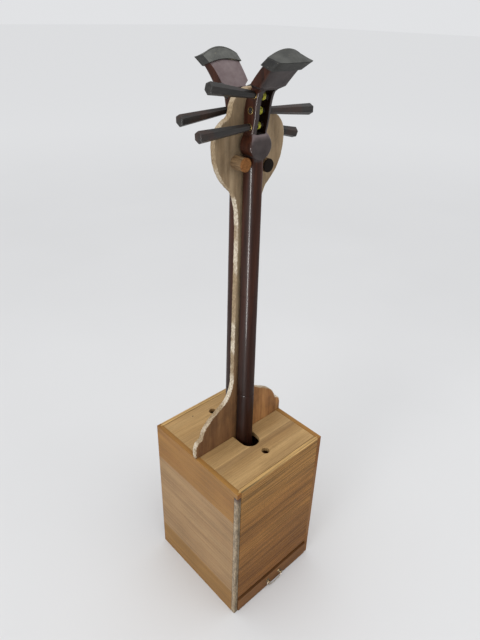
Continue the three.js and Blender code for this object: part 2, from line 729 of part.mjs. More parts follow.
function addSkin(instrument, name, y) {
  const halfX = BODY_HALF_WIDTH - 1;
  const face = block(
    [-halfX, halfX],
    [y, y + SKIN_THICKNESS],
    [BODY_BOTTOM + 1, BODY_TOP - 1],
  );
  add(name, face, hide, instrument);
}

// The lower neck runs on through the body as a spike and ends in the pin it stands on.
function addLowerNeck(instrument, label, spikeY, pin) {
  const heel = BODY_TOP + BODY_BULGE + GAP;
  const swell = [level(heel, 14.6, -44, 2.6), level(heel + 12, 14.5, -35, 2.5)];
  const neck = loft([...swell, neckAt(heel + 30), neckAt(LOWER_JOINT)]);
  const spike = block([-SPIKE_HALF_WIDTH, SPIKE_HALF_WIDTH], spikeY, [BODY_BOTTOM - 4, heel + 3]);
  const middle = (spikeY[0] + spikeY[1]) / 2;
  const foot = solid(cylinder(PIN_RADIUS, pin, 20)).rotate([90, 0, 0]);
  const end = foot.translate([0, middle, BODY_BOTTOM - pin - 1]);
  add(`${label}_neck_lower`, join(neck, spike, end), darkWood, instrument);
}

// ---------------------------------------------------------------- shamisen: assembly
function addShamisen({ label, pegs, drop, tailShift }) {
  const instrument = new THREE.Group();
  stand.add(instrument);
  const head = cut(upperNeck(tailShift), pegSlot(), ...pegs.map(pegBore));
  add(`${label}_neck_upper`, head, darkWood, instrument);
  const middle = loft([neckAt(LOWER_JOINT + GAP), neckAt(UPPER_JOINT)]);
  add(`${label}_neck_middle`, middle, darkWood, instrument);
  add(`${label}_head_cap`, headCap(tailShift), capLeather, instrument);
  const nutY = [STRING_FACE + GAP, STRING_FACE + 1.5];
  add(`${label}_nut`, block([-12, 12], nutY, [NUT_Z - 1.5, NUT_Z + 1.5]), ivory, instrument);
  const routes = [[9, 7.6, 2], [0, 0, 0], [-9, -7, -2]]; // x at the tail, the nut and the peg
  pegs.forEach((peg, i) => {
    add(`${label}_peg_${peg.name}`, pegBody(peg), pegWood, instrument);
    add(`${label}_string_${peg.name}`, stringBody(peg, ...routes[i]), silk, instrument);
  });
  const pin = BODY_BOTTOM - SHELF_TOP - GAP - drop;
  addBody(instrument, label, pin - 1);
  return instrument;
}

addSidePanels();
addLiftPanel("front_panel", -1);
addLiftPanel("back_panel", 1);
addLid("front_lid", -1, FRONT_FINGER_HOLE);
addLid("back_lid", 1, BACK_FINGER_HOLE);
addCaseFittings();
addDivider();
addRestDowels();
addDrawer();
addShamisen(FRONT_SHAMISEN);
const backInstrument = addShamisen(BACK_SHAMISEN);
backInstrument.rotation.z = Math.PI;
backInstrument.position.z = -BACK_SHAMISEN.drop;

export default stand;
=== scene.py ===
# The looks of two shamisen in their storage stand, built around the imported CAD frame.
# Metres, +Z up. -Y is the drawer side, and the front instrument stands on -Y of the divider.
from contextlib import contextmanager
from math import copysign, cos, hypot, pi, radians, sin

import bmesh
import bpy
from mathutils import Matrix, Vector, geometry, kdtree, noise


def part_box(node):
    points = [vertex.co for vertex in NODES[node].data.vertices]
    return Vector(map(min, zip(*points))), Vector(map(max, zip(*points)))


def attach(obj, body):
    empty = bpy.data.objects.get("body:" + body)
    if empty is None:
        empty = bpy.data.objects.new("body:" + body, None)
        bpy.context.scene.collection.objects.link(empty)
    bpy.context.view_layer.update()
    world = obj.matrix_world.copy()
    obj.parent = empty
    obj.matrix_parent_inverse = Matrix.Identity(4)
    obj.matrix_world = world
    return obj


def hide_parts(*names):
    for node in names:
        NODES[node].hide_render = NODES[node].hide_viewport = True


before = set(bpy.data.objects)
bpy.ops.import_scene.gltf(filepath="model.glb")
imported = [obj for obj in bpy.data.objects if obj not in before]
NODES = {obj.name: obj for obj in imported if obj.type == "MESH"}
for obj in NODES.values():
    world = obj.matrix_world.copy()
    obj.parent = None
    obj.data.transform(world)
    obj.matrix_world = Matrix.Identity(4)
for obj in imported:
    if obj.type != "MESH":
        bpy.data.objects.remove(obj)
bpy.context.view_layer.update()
MM = 0.001

# ---------------------------------------------------------------- driving dimensions
CASE_LOW, CASE_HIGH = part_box("left_side_panel")
CASE_TOP = CASE_HIGH.z
BOARD = CASE_HIGH.x - CASE_LOW.x
HALF_WIDTH = -CASE_LOW.x
HALF_DEPTH = CASE_HIGH.y
GAP = 0.0003

# The divider's outline.
DIVIDER_LOW, DIVIDER_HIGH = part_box("divider_board")
EXPOSED_FROM = CASE_TOP + 0.001  # above this height its edges are worn
FOOT_HALF_WIDTH = HALF_WIDTH - BOARD - GAP
STEM_HALF_WIDTH = 0.0215
HEAD_HALF_WIDTH = 0.068
HEAD_LEAN = 0.0035
LEAN_FROM, LEAN_TO = 0.443, 0.795
RIM_STEP = 0.0022  # the longest straight stretch of the outline
RIM_FADE = 0.0045  # how far in from the outline wear can reach
# The points that fill its flat faces: their spacing, how far from the outline they start, and
# beyond what distance only one in sixteen is kept.
FILL_STEP, FILL_START, FILL_THIN = 0.0018, 0.0011, 0.008

# The instruments, drawn for the front one. The back one is turned half round and set lower.
STRING_FACE = -0.0083
NECK_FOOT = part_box("front_body_top")[1].z
LOWER_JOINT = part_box("front_neck_lower")[1].z
UPPER_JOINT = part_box("front_neck_middle")[1].z
BACK_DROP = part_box("front_nut")[0].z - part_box("back_nut")[0].z
NUT_Z = (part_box("front_nut")[0].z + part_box("front_nut")[1].z) / 2
SLOT_HALF_WIDTH = 0.0086
SLOT_BOTTOM, SLOT_TOP = 0.888, 0.942
SHAFT_RADIUS = 0.0035
SHAFT_START = -0.0155
BORE_RADIUS, BORE_REACH = 0.0038, 0.02
HANDLE_START = 0.0175
HANDLE_INNER_RADIUS = 0.0049
HANDLE_OUTER_RADIUS = 0.0082
CHEEK = 0.0152  # the peg box's half width
FERRULE_RADIUS, FERRULE_WIRE = 0.0045, 0.00034
STRING_RADIUS = 0.00055
CAP_WALL = 0.0024
CAP_RIM = 3  # the entry of TAIL where the cap's rim lies
CAP_TONE = {"front": 0.66, "back": 1.2}

PLACE = {
    "front": Matrix.Identity(4),
    "back": Matrix.Translation((0, 0, -BACK_DROP)) @ Matrix.Rotation(pi, 4, "Z"),
}
TAIL_SHIFT = {"front": (-0.0025, 0.0025), "back": (0.003, 0.0005)}

# Each peg: where its axis crosses the middle plane, its direction outwards and its reach.
PEGS = {
    "front": {
        "top": {"y": -0.027, "z": 0.9355, "way": (-1, 0, 0.17), "reach": 0.093},
        "middle": {"y": -0.021, "z": 0.917, "way": (1, 0, -0.07), "reach": 0.106},
        "bottom": {"y": -0.0196, "z": 0.8975, "way": (-1, 0, -0.034), "reach": 0.104},
    },
    "back": {
        "top": {"y": -0.027, "z": 0.9355, "way": (-1, 0, 0.16), "reach": 0.092},
        "middle": {"y": -0.021, "z": 0.918, "way": (1, 0, -0.07), "reach": 0.102},
        "bottom": {"y": -0.0196, "z": 0.8975, "way": (-1, 0.07, -0.21), "reach": 0.113},
    },
}
# Each string's x at the tail cord, at the nut and at its peg, in millimetres.
STRING_ROUTES = {"top": (9, 7.6, 2), "middle": (0, 0, 0), "bottom": (-9, -7, -2)}


# ---------------------------------------------------------------- materials
def linear(red, green, blue):
    """A colour given as 0 to 255 values, as the linear values that a shader takes."""
    def channel(value):
        value /= 255
        return value / 12.92 if value <= 0.04045 else ((value + 0.055) / 1.055) ** 2.4
    return (channel(red), channel(green), channel(blue), 1)


def grey(value):
    return (value, value, value, 1)


class Look:
    """A node material under construction."""

    def __init__(self, name, roughness=0.6, **sockets):
        self.material = bpy.data.materials.new(name)
        self.material.use_nodes = True
        self.nodes = self.material.node_tree.nodes
        self.links = self.material.node_tree.links
        self.shader = self.nodes["Principled BSDF"]
        self.shader.inputs["Roughness"].default_value = roughness
        for socket, value in sockets.items():
            self.shader.inputs[socket.replace("_", " ")].default_value = value
        self.place = self.nodes.new("ShaderNodeTexCoord").outputs["Object"]
        self.x, self.y, self.z = self.add("SeparateXYZ", {"Vector": self.place}).outputs

    def put(self, value, socket):
        if isinstance(value, bpy.types.NodeSocket):
            self.links.new(value, socket)
        else:
            socket.default_value = value

    def add(self, kind, inputs, **settings):
        node = self.nodes.new("ShaderNode" + kind)
        for name, value in settings.items():
            setattr(node, name, value)
        for name, value in inputs.items():
            self.put(value, node.inputs[name])
        return node

    def noise(self, grain, along, across, seed=0.0, detail=2.0, roughness=0.5, distortion=0.0):
        """Noise whose features are long along the grain axis and short across it."""
        scale = [across] * 3
        scale["XYZ".index(grain)] = along
        spot = {"Vector": self.place, "Scale": scale, "Location": (seed, 2 * seed, 3 * seed)}
        inputs = {
            "Vector": self.add("Mapping", spot).outputs[0], "Scale": 1.0, "Detail": detail,
            "Roughness": roughness, "Distortion": distortion,
        }
        return self.add("TexNoise", inputs).outputs[0]

    def cloud(self, scale, seed=0.0, *texture):
        """Noise that is the same size in every direction."""
        return self.noise("X", scale, scale, seed, *texture)

    def wave(self, scale, distortion):
        """Slanted bands, as on twisted or plaited cord."""
        inputs = {"Vector": self.place, "Scale": scale, "Distortion": distortion}
        return self.add("TexWave", inputs, bands_direction="DIAGONAL").outputs["Fac"]

    def range(self, value, low, high, start=0.0, end=1.0):
        inputs = {
            "Value": value, "From Min": low, "From Max": high, "To Min": start, "To Max": end,
        }
        return self.add("MapRange", inputs, interpolation_type="SMOOTHSTEP").outputs[0]

    def ramp(self, value, dark, light, low, high):
        node = self.add("ValToRGB", {"Fac": value})
        first, last = node.color_ramp.elements
        first.position, last.position = low, high
        first.color, last.color = dark, light
        return node.outputs[0]

    def tones(self, value, dark, light, low=0.3, high=0.7):
        """A colour between two that are given as 0 to 255 values."""
        return self.ramp(value, linear(*dark), linear(*light), low, high)

    def mix(self, share, first, second, blend="MIX"):
        inputs = {"Fac": share, "Color1": first, "Color2": second}
        return self.add("MixRGB", inputs, blend_type=blend).outputs[0]

    def multiply(self, colour, factor):
        return self.mix(1.0, colour, factor, "MULTIPLY")

    def shade(self, colour, value, low, high, dark, light=1.0):
        """The colour times a grey that goes from dark to light as value goes from low to high."""
        share = self.range(value, low, high)
        return self.multiply(colour, self.ramp(share, grey(dark), grey(light), 0, 1))

    def tint(self, colour, share, full, none=grey(1)):
        """The colour times a tint that goes from none to full with share."""
        return self.multiply(colour, self.mix(share, none, full))

    def math(self, operation, first, second=0.0):
        return self.add("Math", {0: first, 1: second}, operation=operation).outputs[0]

    def times(self, first, second):
        return self.math("MULTIPLY", first, second)

    def plus(self, first, second):
        return self.math("ADD", first, second)

    def size(self, value):
        return self.math("ABSOLUTE", value)

    def facing(self, axis):
        """How far the surface faces along one of the object's axes, from -1 to 1."""
        normal = self.add("TexCoord", {}).outputs["Normal"]
        return self.add("SeparateXYZ", {"Vector": normal}).outputs["XYZ".index(axis)]

    def attribute(self, name):
        return self.add("Attribute", {}, attribute_name=name).outputs["Fac"]

    def rough(self, value, low, high, start, end):
        self.put(self.range(value, low, high, start, end), self.shader.inputs["Roughness"])

    def done(self, colour, height, distance, strength):
        """The finished material, with its colour and its relief."""
        relief = self.add("Bump", {"Height": height, "Distance": distance, "Strength": strength})
        self.put(colour, self.shader.inputs["Base Color"])
        self.put(relief.outputs[0], self.shader.inputs["Normal"])
        return self.material


def wood(
    name, grain, dark, light, seed, lines=0.72, ring_tone=0.88, across="z", boards=(), ends=None,
):
    """Open-grained softwood: growth bands, fine darker lines, fibres and short pores.

    boards holds places along the across axis, each with its softness and the tint that starts
    there. ends is a tint for the board's front and back edges, and ring_tone is how dark the fine
    growth lines are.
    """
    look = Look(name, 0.62, Specular_IOR_Level=0.2)
    position = getattr(look, across)
    figure = look.noise(grain, 4, 46, seed, 3.0, 0.55, 0.4)
    lining = look.noise(grain, 6, 430, seed + 1, 2.5, 0.6, 0.2)
    fibres = look.noise(grain, 40, 2100, seed + 2, 2.0, 0.7)
    pores = look.noise(grain, 120, 1500, seed + 3, 1.0)
    blotches = look.noise(grain, 9, 14, seed + 4, 3.0)
    drift = look.times(look.noise(grain, 3, 34, seed + 6), 16.0)
    rings = look.math("SINE", look.plus(look.times(position, 2700.0), drift))
    colour = look.tones(figure, dark, light, 0.28, 0.72)
    colour = look.shade(colour, lining, 0.36, 0.6, lines)
    colour = look.tint(colour, look.range(rings, -0.9, 0.5), grey(1), grey(ring_tone))
    colour = look.shade(colour, fibres, 0.3, 0.65, 0.86, 1.04)
    colour = look.shade(colour, pores, 0.3, 0.4, 0.8)
    colour = look.shade(colour, blotches, 0.3, 0.7, 0.9, 1.06)
    for start, softness, tint in boards:
        share = look.range(position, start - softness, start + softness)
        colour = look.tint(colour, share, tint)
    if ends:
        edge = look.range(look.size(look.y), HALF_DEPTH - 0.0009, HALF_DEPTH - 0.0003)
        colour = look.tint(colour, edge, ends)
    look.rough(fibres, 0.3, 0.7, 0.54, 0.72)
    relief = look.plus(look.times(lining, 0.6), look.times(pores, 0.5))
    return look.done(colour, relief, 0.00035, 0.6)


def divider_wood():
    """Weathered board: khaki on its head, brown at its foot with painted shade on its left and
    painted light on its right, and a raw, chipped pale rim.
    """
    look = Look("divider_wood", 0.7, Specular_IOR_Level=0.2)
    figure = look.noise("Z", 6, 70, 0, 4.0, 0.6, 0.6)
    fibres = look.noise("Z", 30, 1300, 2, 2.0, 0.6)
    stains = look.noise("Z", 16, 24, 5, 4.0, 0.65)
    head = look.tones(figure, (128, 106, 79), (168, 146, 116))
    foot = look.tones(figure, (122, 84, 52), (168, 126, 82))
    # Painted shade and light across the foot: darker on its left, where the neck shades it,
    # lighter on its right.
    foot_light_and_shade = look.range(look.x, -0.035, 0.05)
    foot = look.tint(foot, foot_light_and_shade, (1.25, 1.18, 1.06, 1), (0.62, 0.58, 0.56, 1))
    colour = look.mix(look.range(look.z, 0.40, 0.62), foot, head)
    colour = look.shade(colour, fibres, 0.3, 0.65, 0.84, 1.05)
    colour = look.shade(colour, stains, 0.32, 0.62, 0.72, 1.06)
    raw = look.noise("Z", 240, 420, 7, 4.0, 0.7)
    pale = look.tones(raw, (148, 126, 96), (230, 220, 200), 0.3, 0.66)
    tan = look.tones(raw, (112, 90, 62), (176, 154, 122), 0.3, 0.66)
    rubbed = look.range(look.cloud(22, 9, 3.0), 0.42, 0.62)
    bare = look.times(rubbed, look.range(look.z, 0.78, 0.84, 1.0, 0.45))
    broad = look.range(look.size(look.facing("Y")), 0.6, 0.95, 0.0, 0.24)
    rim = look.math("SUBTRACT", look.attribute("rim"), broad)
    worn = look.range(look.plus(rim, look.times(raw, 0.9)), 1.12, 1.26)
    colour = look.mix(worn, colour, look.mix(bare, tan, pale))
    return look.done(colour, look.mix(worn, fibres, raw), 0.0009, 0.8)


def end_grain(name, dark, light, ends):
    """Sawn round rod: sides as brown as the board, and end faces with fanned grain."""
    look = Look(name, 0.75, Specular_IOR_Level=0.1)
    fan = look.noise("Y", 90, 420, 3, 4.0, 0.6, 1.2)
    specks = look.noise("Y", 500, 900, 4)
    fibres = look.noise("Y", 60, 700, 6, 3.0)
    face = look.tones(fan, dark, light, 0.3, 0.68)
    side = look.tones(fibres, (92, 70, 48), (138, 112, 80))
    colour = look.mix(look.range(look.size(look.y), ends - 0.003, ends - 0.0012), side, face)
    colour = look.shade(colour, specks, 0.32, 0.55, 0.78)
    return look.done(colour, look.plus(fan, specks), 0.0005, 0.6)


def dark_wood(name, dark, light, roughness, seed, over=None):
    """Dense, polished hardwood with fine pores along the grain. over changes its plain colour."""
    look = Look(name, roughness, Specular_IOR_Level=0.08, Coat_Weight=0.13, Coat_Roughness=0.12)
    figure = look.noise("Z", 7, 130, seed, 4.0, 0.6, 0.5)
    pores = look.noise("Z", 90, 1900, seed + 2)
    haze = look.noise("Z", 22, 60, seed + 5, 3.0)
    colour = look.shade(look.tones(figure, dark, light), pores, 0.3, 0.46, 0.62)
    look.rough(haze, 0.3, 0.7, roughness - 0.06, roughness + 0.1)
    return look.done(over(look, colour, seed) if over else colour, pores, 0.0001, 0.5)


def neck_tones(look, plain, seed):
    """Painted reflection in slate grey on the head's front and back, lighter painted sheen where
    they face up, and painted shade inside the peg box.
    """
    # Painted reflection: the head's faces that do not face sideways turn slate grey, as if
    # mirroring the bright room, with a lighter painted sheen where they face up.
    faces = look.range(look.size(look.facing("X")), 0.86, 0.6)
    painted_reflection = look.times(faces, look.range(look.z, 0.848, 0.854))
    mottle = look.cloud(60, seed, 4.0, 0.6)
    slate = look.tones(mottle, (50, 45, 45), (72, 65, 64))
    painted_sheen = look.tones(mottle, (100, 86, 87), (126, 114, 114))
    slate = look.mix(look.range(look.facing("Z"), 0.15, 0.5), slate, painted_sheen)
    height = look.range(look.z, 0.45, 0.8)
    plain = look.tint(plain, height, (1.2, 1.1, 0.9, 1), (0.6, 0.56, 0.5, 1))
    colour = look.mix(look.times(painted_reflection, 0.92), plain, slate)
    # Painted shade: the walls inside the peg box's slot are darkened, where shade falls.
    within = look.range(look.size(look.x), SLOT_HALF_WIDTH + 0.0004, SLOT_HALF_WIDTH)
    high = look.range(look.z, SLOT_TOP + 0.0036, SLOT_TOP + 0.003)
    low = look.range(look.z, SLOT_BOTTOM - 0.0056, SLOT_BOTTOM - 0.005)
    deep = look.range(look.size(look.y), 0.0095, 0.011)
    upright = look.range(look.size(look.facing("Y")), 0.5, 0.3)
    painted_slot_shade = look.times(look.times(within, deep), look.times(high, low))
    return look.tint(colour, look.times(painted_slot_shade, upright), grey(0.2))


def cap_leather(name, seed, tone):
    """Thin hide glued over a wooden shape: fine pebbling, scuffs, and pale worn corners."""
    look = Look(name, 0.62, Specular_IOR_Level=0.25)
    pebbles = look.add("TexVoronoi", {"Vector": look.place, "Scale": 900.0}).outputs["Distance"]
    mottle = look.cloud(70, seed, 4.0, 0.6)
    scuff = look.noise("X", 130, 420, seed + 2, 4.0, 0.7)
    sides = look.tones(mottle, (44, 44, 42), (70, 70, 66))
    top = look.tones(mottle, (74, 75, 72), (102, 103, 98))
    base = look.mix(look.range(look.facing("Z"), 0.35, 1.1), sides, top)
    base = look.multiply(base, grey(tone))
    base = look.tint(base, look.range(look.size(look.facing("X")), 0.6, 0.9), grey(0.5))
    edge = look.plus(look.times(look.attribute("rim"), 0.62), look.times(scuff, 0.8))
    pale = look.tones(scuff, (112, 104, 84), (168, 158, 130))
    colour = look.mix(look.range(edge, 0.97, 1.07), base, pale)
    colour = look.mix(look.range(scuff, 0.66, 0.72), colour, linear(160, 152, 128))
    return look.done(colour, look.plus(look.times(pebbles, 0.7), mottle), 0.0004, 0.5)


def peg_wood():
    """Dark turned wood, greyed by handling, with brown showing through."""
    look = Look("peg_wood", 0.42, Specular_IOR_Level=0.26, Coat_Weight=0.06, Coat_Roughness=0.2)
    figure = look.noise("X", 14, 210, 0, 4.0, 0.6, 0.4)
    pores = look.noise("X", 160, 1700, 3)
    brown = look.times(look.range(look.cloud(28, 8, 3.0), 0.5, 0.66), 0.55)
    colour = look.mix(brown, look.tones(figure, (26, 25, 24), (52, 48, 45)), linear(60, 38, 29))
    look.rough(figure, 0.3, 0.7, 0.36, 0.52)
    return look.done(look.shade(colour, pores, 0.3, 0.48, 0.66), pores, 0.00015, 0.5)


def thread():
    """Waxed black thread."""
    look = Look("seam_thread", 0.7)
    twist = look.cloud(900)
    return look.done(look.tones(twist, (18, 18, 18), (44, 43, 40)), twist, 0.0002, 0.6)


def silk():
    """Yellow twisted silk."""
    look = Look("string_silk", 0.5, Sheen_Weight=0.25)
    twist = look.wave(700.0, 0.6)
    colour = look.tones(twist, (142, 138, 20), (226, 222, 62), 0.1, 0.8)
    colour = look.shade(colour, look.cloud(900), 0.3, 0.6, 0.8, 1.05)
    return look.done(colour, twist, 0.0002, 0.8)


def hide():
    """Stretched skin over the body: pale, faintly mottled, with fine pores."""
    look = Look("skin_hide", 0.5, Subsurface_Weight=0.05)
    pores = look.cloud(650, 2)
    colour = look.tones(look.cloud(18, 0, 4.0, 0.6), (214, 203, 176), (240, 232, 212))
    return look.done(look.shade(colour, pores, 0.3, 0.5, 0.92), pores, 0.0002, 0.4)


def bone():
    """Polished bone with faint streaks."""
    look = Look("nut_bone", 0.4)
    streaks = look.noise("X", 60, 700, 0, 3.0)
    return look.done(look.tones(streaks, (216, 204, 176), (240, 232, 212)), streaks, 0.0001, 0.4)


def braid():
    """Purple braided silk cord."""
    look = Look("tail_cord", 0.7, Sheen_Weight=0.4)
    plait = look.wave(420.0, 1.0)
    colour = look.tones(plait, (58, 30, 74), (122, 80, 140), 0.15, 0.85)
    return look.done(colour, plait, 0.0004, 0.8)


def metal(name, dull, bright, roughness):
    """Old metal: bright where it is rubbed, brown and rougher where it is tarnished."""
    look = Look(name, roughness, Metallic=1.0)
    tarnish = look.cloud(260, 0, 4.0, 0.65)
    look.rough(tarnish, 0.35, 0.65, roughness + 0.2, roughness)
    return look.done(look.tones(tarnish, dull, bright, 0.35, 0.62), tarnish, 0.0001, 0.4)


def torn_fibres():
    """Torn, bleached veneer along the near corner: pale fibres with grey dirt between them."""
    look = Look("worn_corner", 0.85)
    fibres = look.noise("Z", 130, 900, 0, 4.0, 0.7, 0.4)
    patches = look.noise("Z", 50, 130, 4, 4.0, 0.7)
    pale = look.tones(fibres, (108, 88, 62), (184, 164, 132), 0.34, 0.6)
    dirty = look.tones(fibres, (76, 62, 44), (134, 114, 86), 0.34, 0.62)
    colour = look.mix(look.range(patches, 0.32, 0.68), pale, dirty)
    shaded = look.range(look.x, CASE_LOW.x + 0.0016, CASE_LOW.x + 0.004)
    colour = look.tint(colour, shaded, grey(0.62))
    top = look.range(look.z, CASE_TOP - 0.026, CASE_TOP - 0.012)
    colour = look.mix(top, colour, linear(78, 52, 34))
    return look.done(colour, look.plus(fibres, patches), 0.0012, 0.8)


# ---------------------------------------------------------------- mesh tools
def linked(name, data):
    """A new object in the scene."""
    piece = bpy.data.objects.new(name, data)
    bpy.context.scene.collection.objects.link(piece)
    return piece


def new_object(name, verts, faces):
    mesh = bpy.data.meshes.new(name)
    mesh.from_pydata([tuple(v) for v in verts], [], faces)
    return linked(name, mesh)


def object_from(name, work):
    """A new object with the mesh under work, which ends the work."""
    mesh = bpy.data.meshes.new(name)
    work.to_mesh(mesh)
    work.free()
    return linked(name, mesh)


@contextmanager
def editing(piece):
    """The piece's mesh as a bmesh, written back at the end."""
    work = bmesh.new()
    work.from_mesh(piece.data)
    yield work
    work.to_mesh(piece.data)
    work.free()


def tidy_faces(piece, smooth_below=40.0):
    """Faces outwards, smooth shading, and sharp edges kept where the surface turns sharply."""
    with editing(piece) as work:
        bmesh.ops.recalc_face_normals(work, faces=work.faces)
        for face in work.faces:
            face.smooth = True
    piece.data.set_sharp_from_angle(angle=radians(smooth_below))
    return piece


def keep_flats(piece, smooth_below):
    """Smooth shading between whole flat faces, with sharp edges kept."""
    piece.data.set_sharp_from_angle(angle=radians(smooth_below))
    piece.modifiers.new("flat_faces", "WEIGHTED_NORMAL").keep_sharp = True
    return piece


def round_edges(piece, width, segments=2, angle=35.0):
    """Rounds every edge that turns by more than the angle, and keeps flat faces flat-shaded."""
    with editing(piece) as work:
        bmesh.ops.recalc_face_normals(work, faces=work.faces)
        limit = radians(angle)
        sharp = [e for e in work.edges if len(e.link_faces) == 2 and e.calc_face_angle(0) > limit]
        bmesh.ops.bevel(
            work, geom=sharp, offset=width, segments=segments, profile=0.6,
            affect="EDGES", clamp_overlap=True,
        )
        for face in work.faces:
            face.smooth = True
    return keep_flats(piece, 50)


def shaped(node, name, width, segments=2):
    """A copy of a CAD node's shape, with whole flat faces and rounded edges."""
    work = bmesh.new()
    work.from_mesh(NODES[node].data)
    bmesh.ops.remove_doubles(work, verts=work.verts, dist=2e-6)
    bmesh.ops.dissolve_limit(
        work, angle_limit=radians(0.6), verts=work.verts, edges=work.edges,
    )
    return round_edges(object_from(name, work), width, segments)


def dress(piece, material, slot, body, *stands_for):
    """Gives a piece its finish and its body, and hides the CAD nodes that it stands for."""
    piece.data.materials.clear()
    piece.data.materials.append(material)
    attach(piece, body)
    if stands_for:
        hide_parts(*stands_for)


def moved(piece, matrix):
    piece.data.transform(matrix)
    return piece


def turns(count):
    """Angles evenly spaced round a circle."""
    return [2 * pi * i / count for i in range(count)]


def quads(rows, columns, closed_rows=False, closed_columns=True):
    """The faces of a grid of vertices held row by row. A closed direction joins up."""
    faces = []
    for r in range(rows if closed_rows else rows - 1):
        for c in range(columns if closed_columns else columns - 1):
            a, b, n = r * columns, (r + 1) % rows * columns, (c + 1) % columns
            faces.append((a + c, a + n, b + n, b + c))
    return faces


def loft(name, rings):
    """A closed skin through rings that all have the same number of points."""
    count = len(rings[0])
    verts = [point for ring in rings for point in ring]
    caps = [tuple(reversed(range(count))), tuple(range(len(verts) - count, len(verts)))]
    return tidy_faces(new_object(name, verts, quads(len(rings), count) + caps))


def lathe(name, profile, segments=40):
    """A turned piece along +Y: pairs of radius and height, starting and ending on the axis."""
    rows = profile[1:-1]
    verts = [(r * sin(t), h, r * cos(t)) for r, h in rows for t in turns(segments)]
    faces = quads(len(rows), segments)
    start, last = len(verts), len(verts) - segments
    verts += [(0, profile[0][1], 0), (0, profile[-1][1], 0)]
    for i in range(segments):
        j = (i + 1) % segments
        faces += [(start, i, j), (start + 1, last + j, last + i)]
    return tidy_faces(new_object(name, verts, faces))


def circle(centre, tangent, side, radius, sides):
    """A round section across a curve, and the sideways direction that it starts in."""
    side = (side - tangent * side.dot(tangent)).normalized()
    other = tangent.cross(side)
    points = [centre + radius * (cos(t) * side + sin(t) * other) for t in turns(sides)]
    return points, side


def tube(name, points, radius, sides=10):
    """A round wire through points, with its section carried along without twisting."""
    points = [Vector(p) for p in points]
    ends = [points[0], *points, points[-1]]
    tangents = [(after - before).normalized() for before, after in zip(ends, ends[2:])]
    side = tangents[0].orthogonal().normalized()
    rings = []
    for point, tangent in zip(points, tangents):
        round_section, side = circle(point, tangent, side, radius, sides)
        rings.append(round_section)
    return loft(name, rings)


def closed_tube(name, points, radius, sides=8):
    """A round wire that closes on itself."""
    count = len(points)
    centre = sum(points, Vector()) / count
    verts = []
    for i, point in enumerate(points):
        tangent = (points[(i + 1) % count] - points[i - 1]).normalized()
        verts += circle(point, tangent, point - centre, radius, sides)[0]
    return tidy_faces(new_object(name, verts, quads(count, sides, closed_rows=True)))


def ring(name, radius, wire, segments=48, sides=10):
    """A thin ring around +Y."""
    verts = []
    for turn in turns(segments):
        for tilt in turns(sides):
            reach = radius + wire * cos(tilt)
            verts.append((reach * sin(turn), wire * sin(tilt), reach * cos(turn)))
    return tidy_faces(new_object(name, verts, quads(segments, sides, closed_rows=True)))


def joined(name, pieces):
    """Several loose shapes as one object."""
    work = bmesh.new()
    for piece in pieces:
        work.from_mesh(piece.data)
    whole = object_from(name, work)
    for piece in pieces:
        bpy.data.objects.remove(piece)
    return tidy_faces(whole)


def combine(piece, operation, *tools):
    """Joins closed shapes to a piece or cuts them out of it, then removes them."""
    for tool in tools:
        step = piece.modifiers.new("step", "BOOLEAN")
        step.operation, step.solver, step.object = operation, "EXACT", tool
    bpy.context.view_layer.update()
    evaluated = piece.evaluated_get(bpy.context.evaluated_depsgraph_get())
    mesh = bpy.data.meshes.new_from_object(evaluated)
    piece.modifiers.clear()
    piece.data = mesh
    for tool in tools:
        bpy.data.objects.remove(tool)


def bezier(start, first, second, end, steps=24):
    """Points along a cubic curve, without its start."""
    points = []
    for i in range(1, steps + 1):
        t = i / steps
        s = 1 - t
        weights = (s ** 3, 3 * s * s * t, 3 * s * t * t, t ** 3)
        parts = [w * Vector(p) for w, p in zip(weights, (start, first, second, end))]
        points.append(sum(parts[1:], parts[0]))
    return points


def even(points, step):
    """A polyline with its long stretches divided so that no stretch is longer than step."""
    spread = [points[0]]
    for point in points[1:]:
        start = spread[-1]
        count = max(1, round((point - start).length / step))
        spread += [start.lerp(point, i / count) for i in range(1, count + 1)]
    return spread


def monotone(xs, ys, x):
    """A smooth curve through points that never overshoots them."""
    last = len(xs) - 2
    k = max(i for i in range(last + 1) if xs[i] <= x or i == 0)
    slopes = [(ys[i + 1] - ys[i]) / (xs[i + 1] - xs[i]) for i in range(last + 1)]

    def lean(i):
        a, b = slopes[max(i - 1, 0)], slopes[min(i, last)]
        return 0.0 if a * b <= 0 else 2 * a * b / (a + b)

    width = xs[k + 1] - xs[k]
    t = (x - xs[k]) / width
    return (
        (1 + 2 * t) * (1 - t) ** 2 * ys[k] + t * (1 - t) ** 2 * width * lean(k)
        + t * t * (3 - 2 * t) * ys[k + 1] + t * t * (t - 1) * width * lean(k + 1)
    )


# ---------------------------------------------------------------- case
def side_panel_wood():
    return wood(
        "side_panel_wood", "Y", (145, 104, 53), (160, 120, 64), 3, 0.82,
        boards=(
            (0.061, 0.0015, (1.17, 1.38, 2.4, 1)),
            (0.16, 0.03, (1.02, 1.02, 1.02, 1)),
            (0.258, 0.0015, (0.88, 0.7, 0.37, 1)),
        ), ends=(0.72, 0.56, 0.42, 1),
    )


def lift_panel_wood():
    return wood(
        "lift_panel_wood", "X", (147, 96, 43), (160, 106, 49), 5, 0.5, 0.38,
        boards=(
            (0.11, 0.04, (1.24, 1.34, 1.5, 1)),
            (0.164, 0.003, (1.16, 1.2, 1.18, 1)),
            (0.186, 0.006, (0.9, 0.88, 0.88, 1)),
            (0.27, 0.05, (1.26, 1.42, 1.6, 1)),
            (CASE_TOP - 0.0012, 0.0005, (1.12, 1.38, 2.0, 1)),
        ),
    )


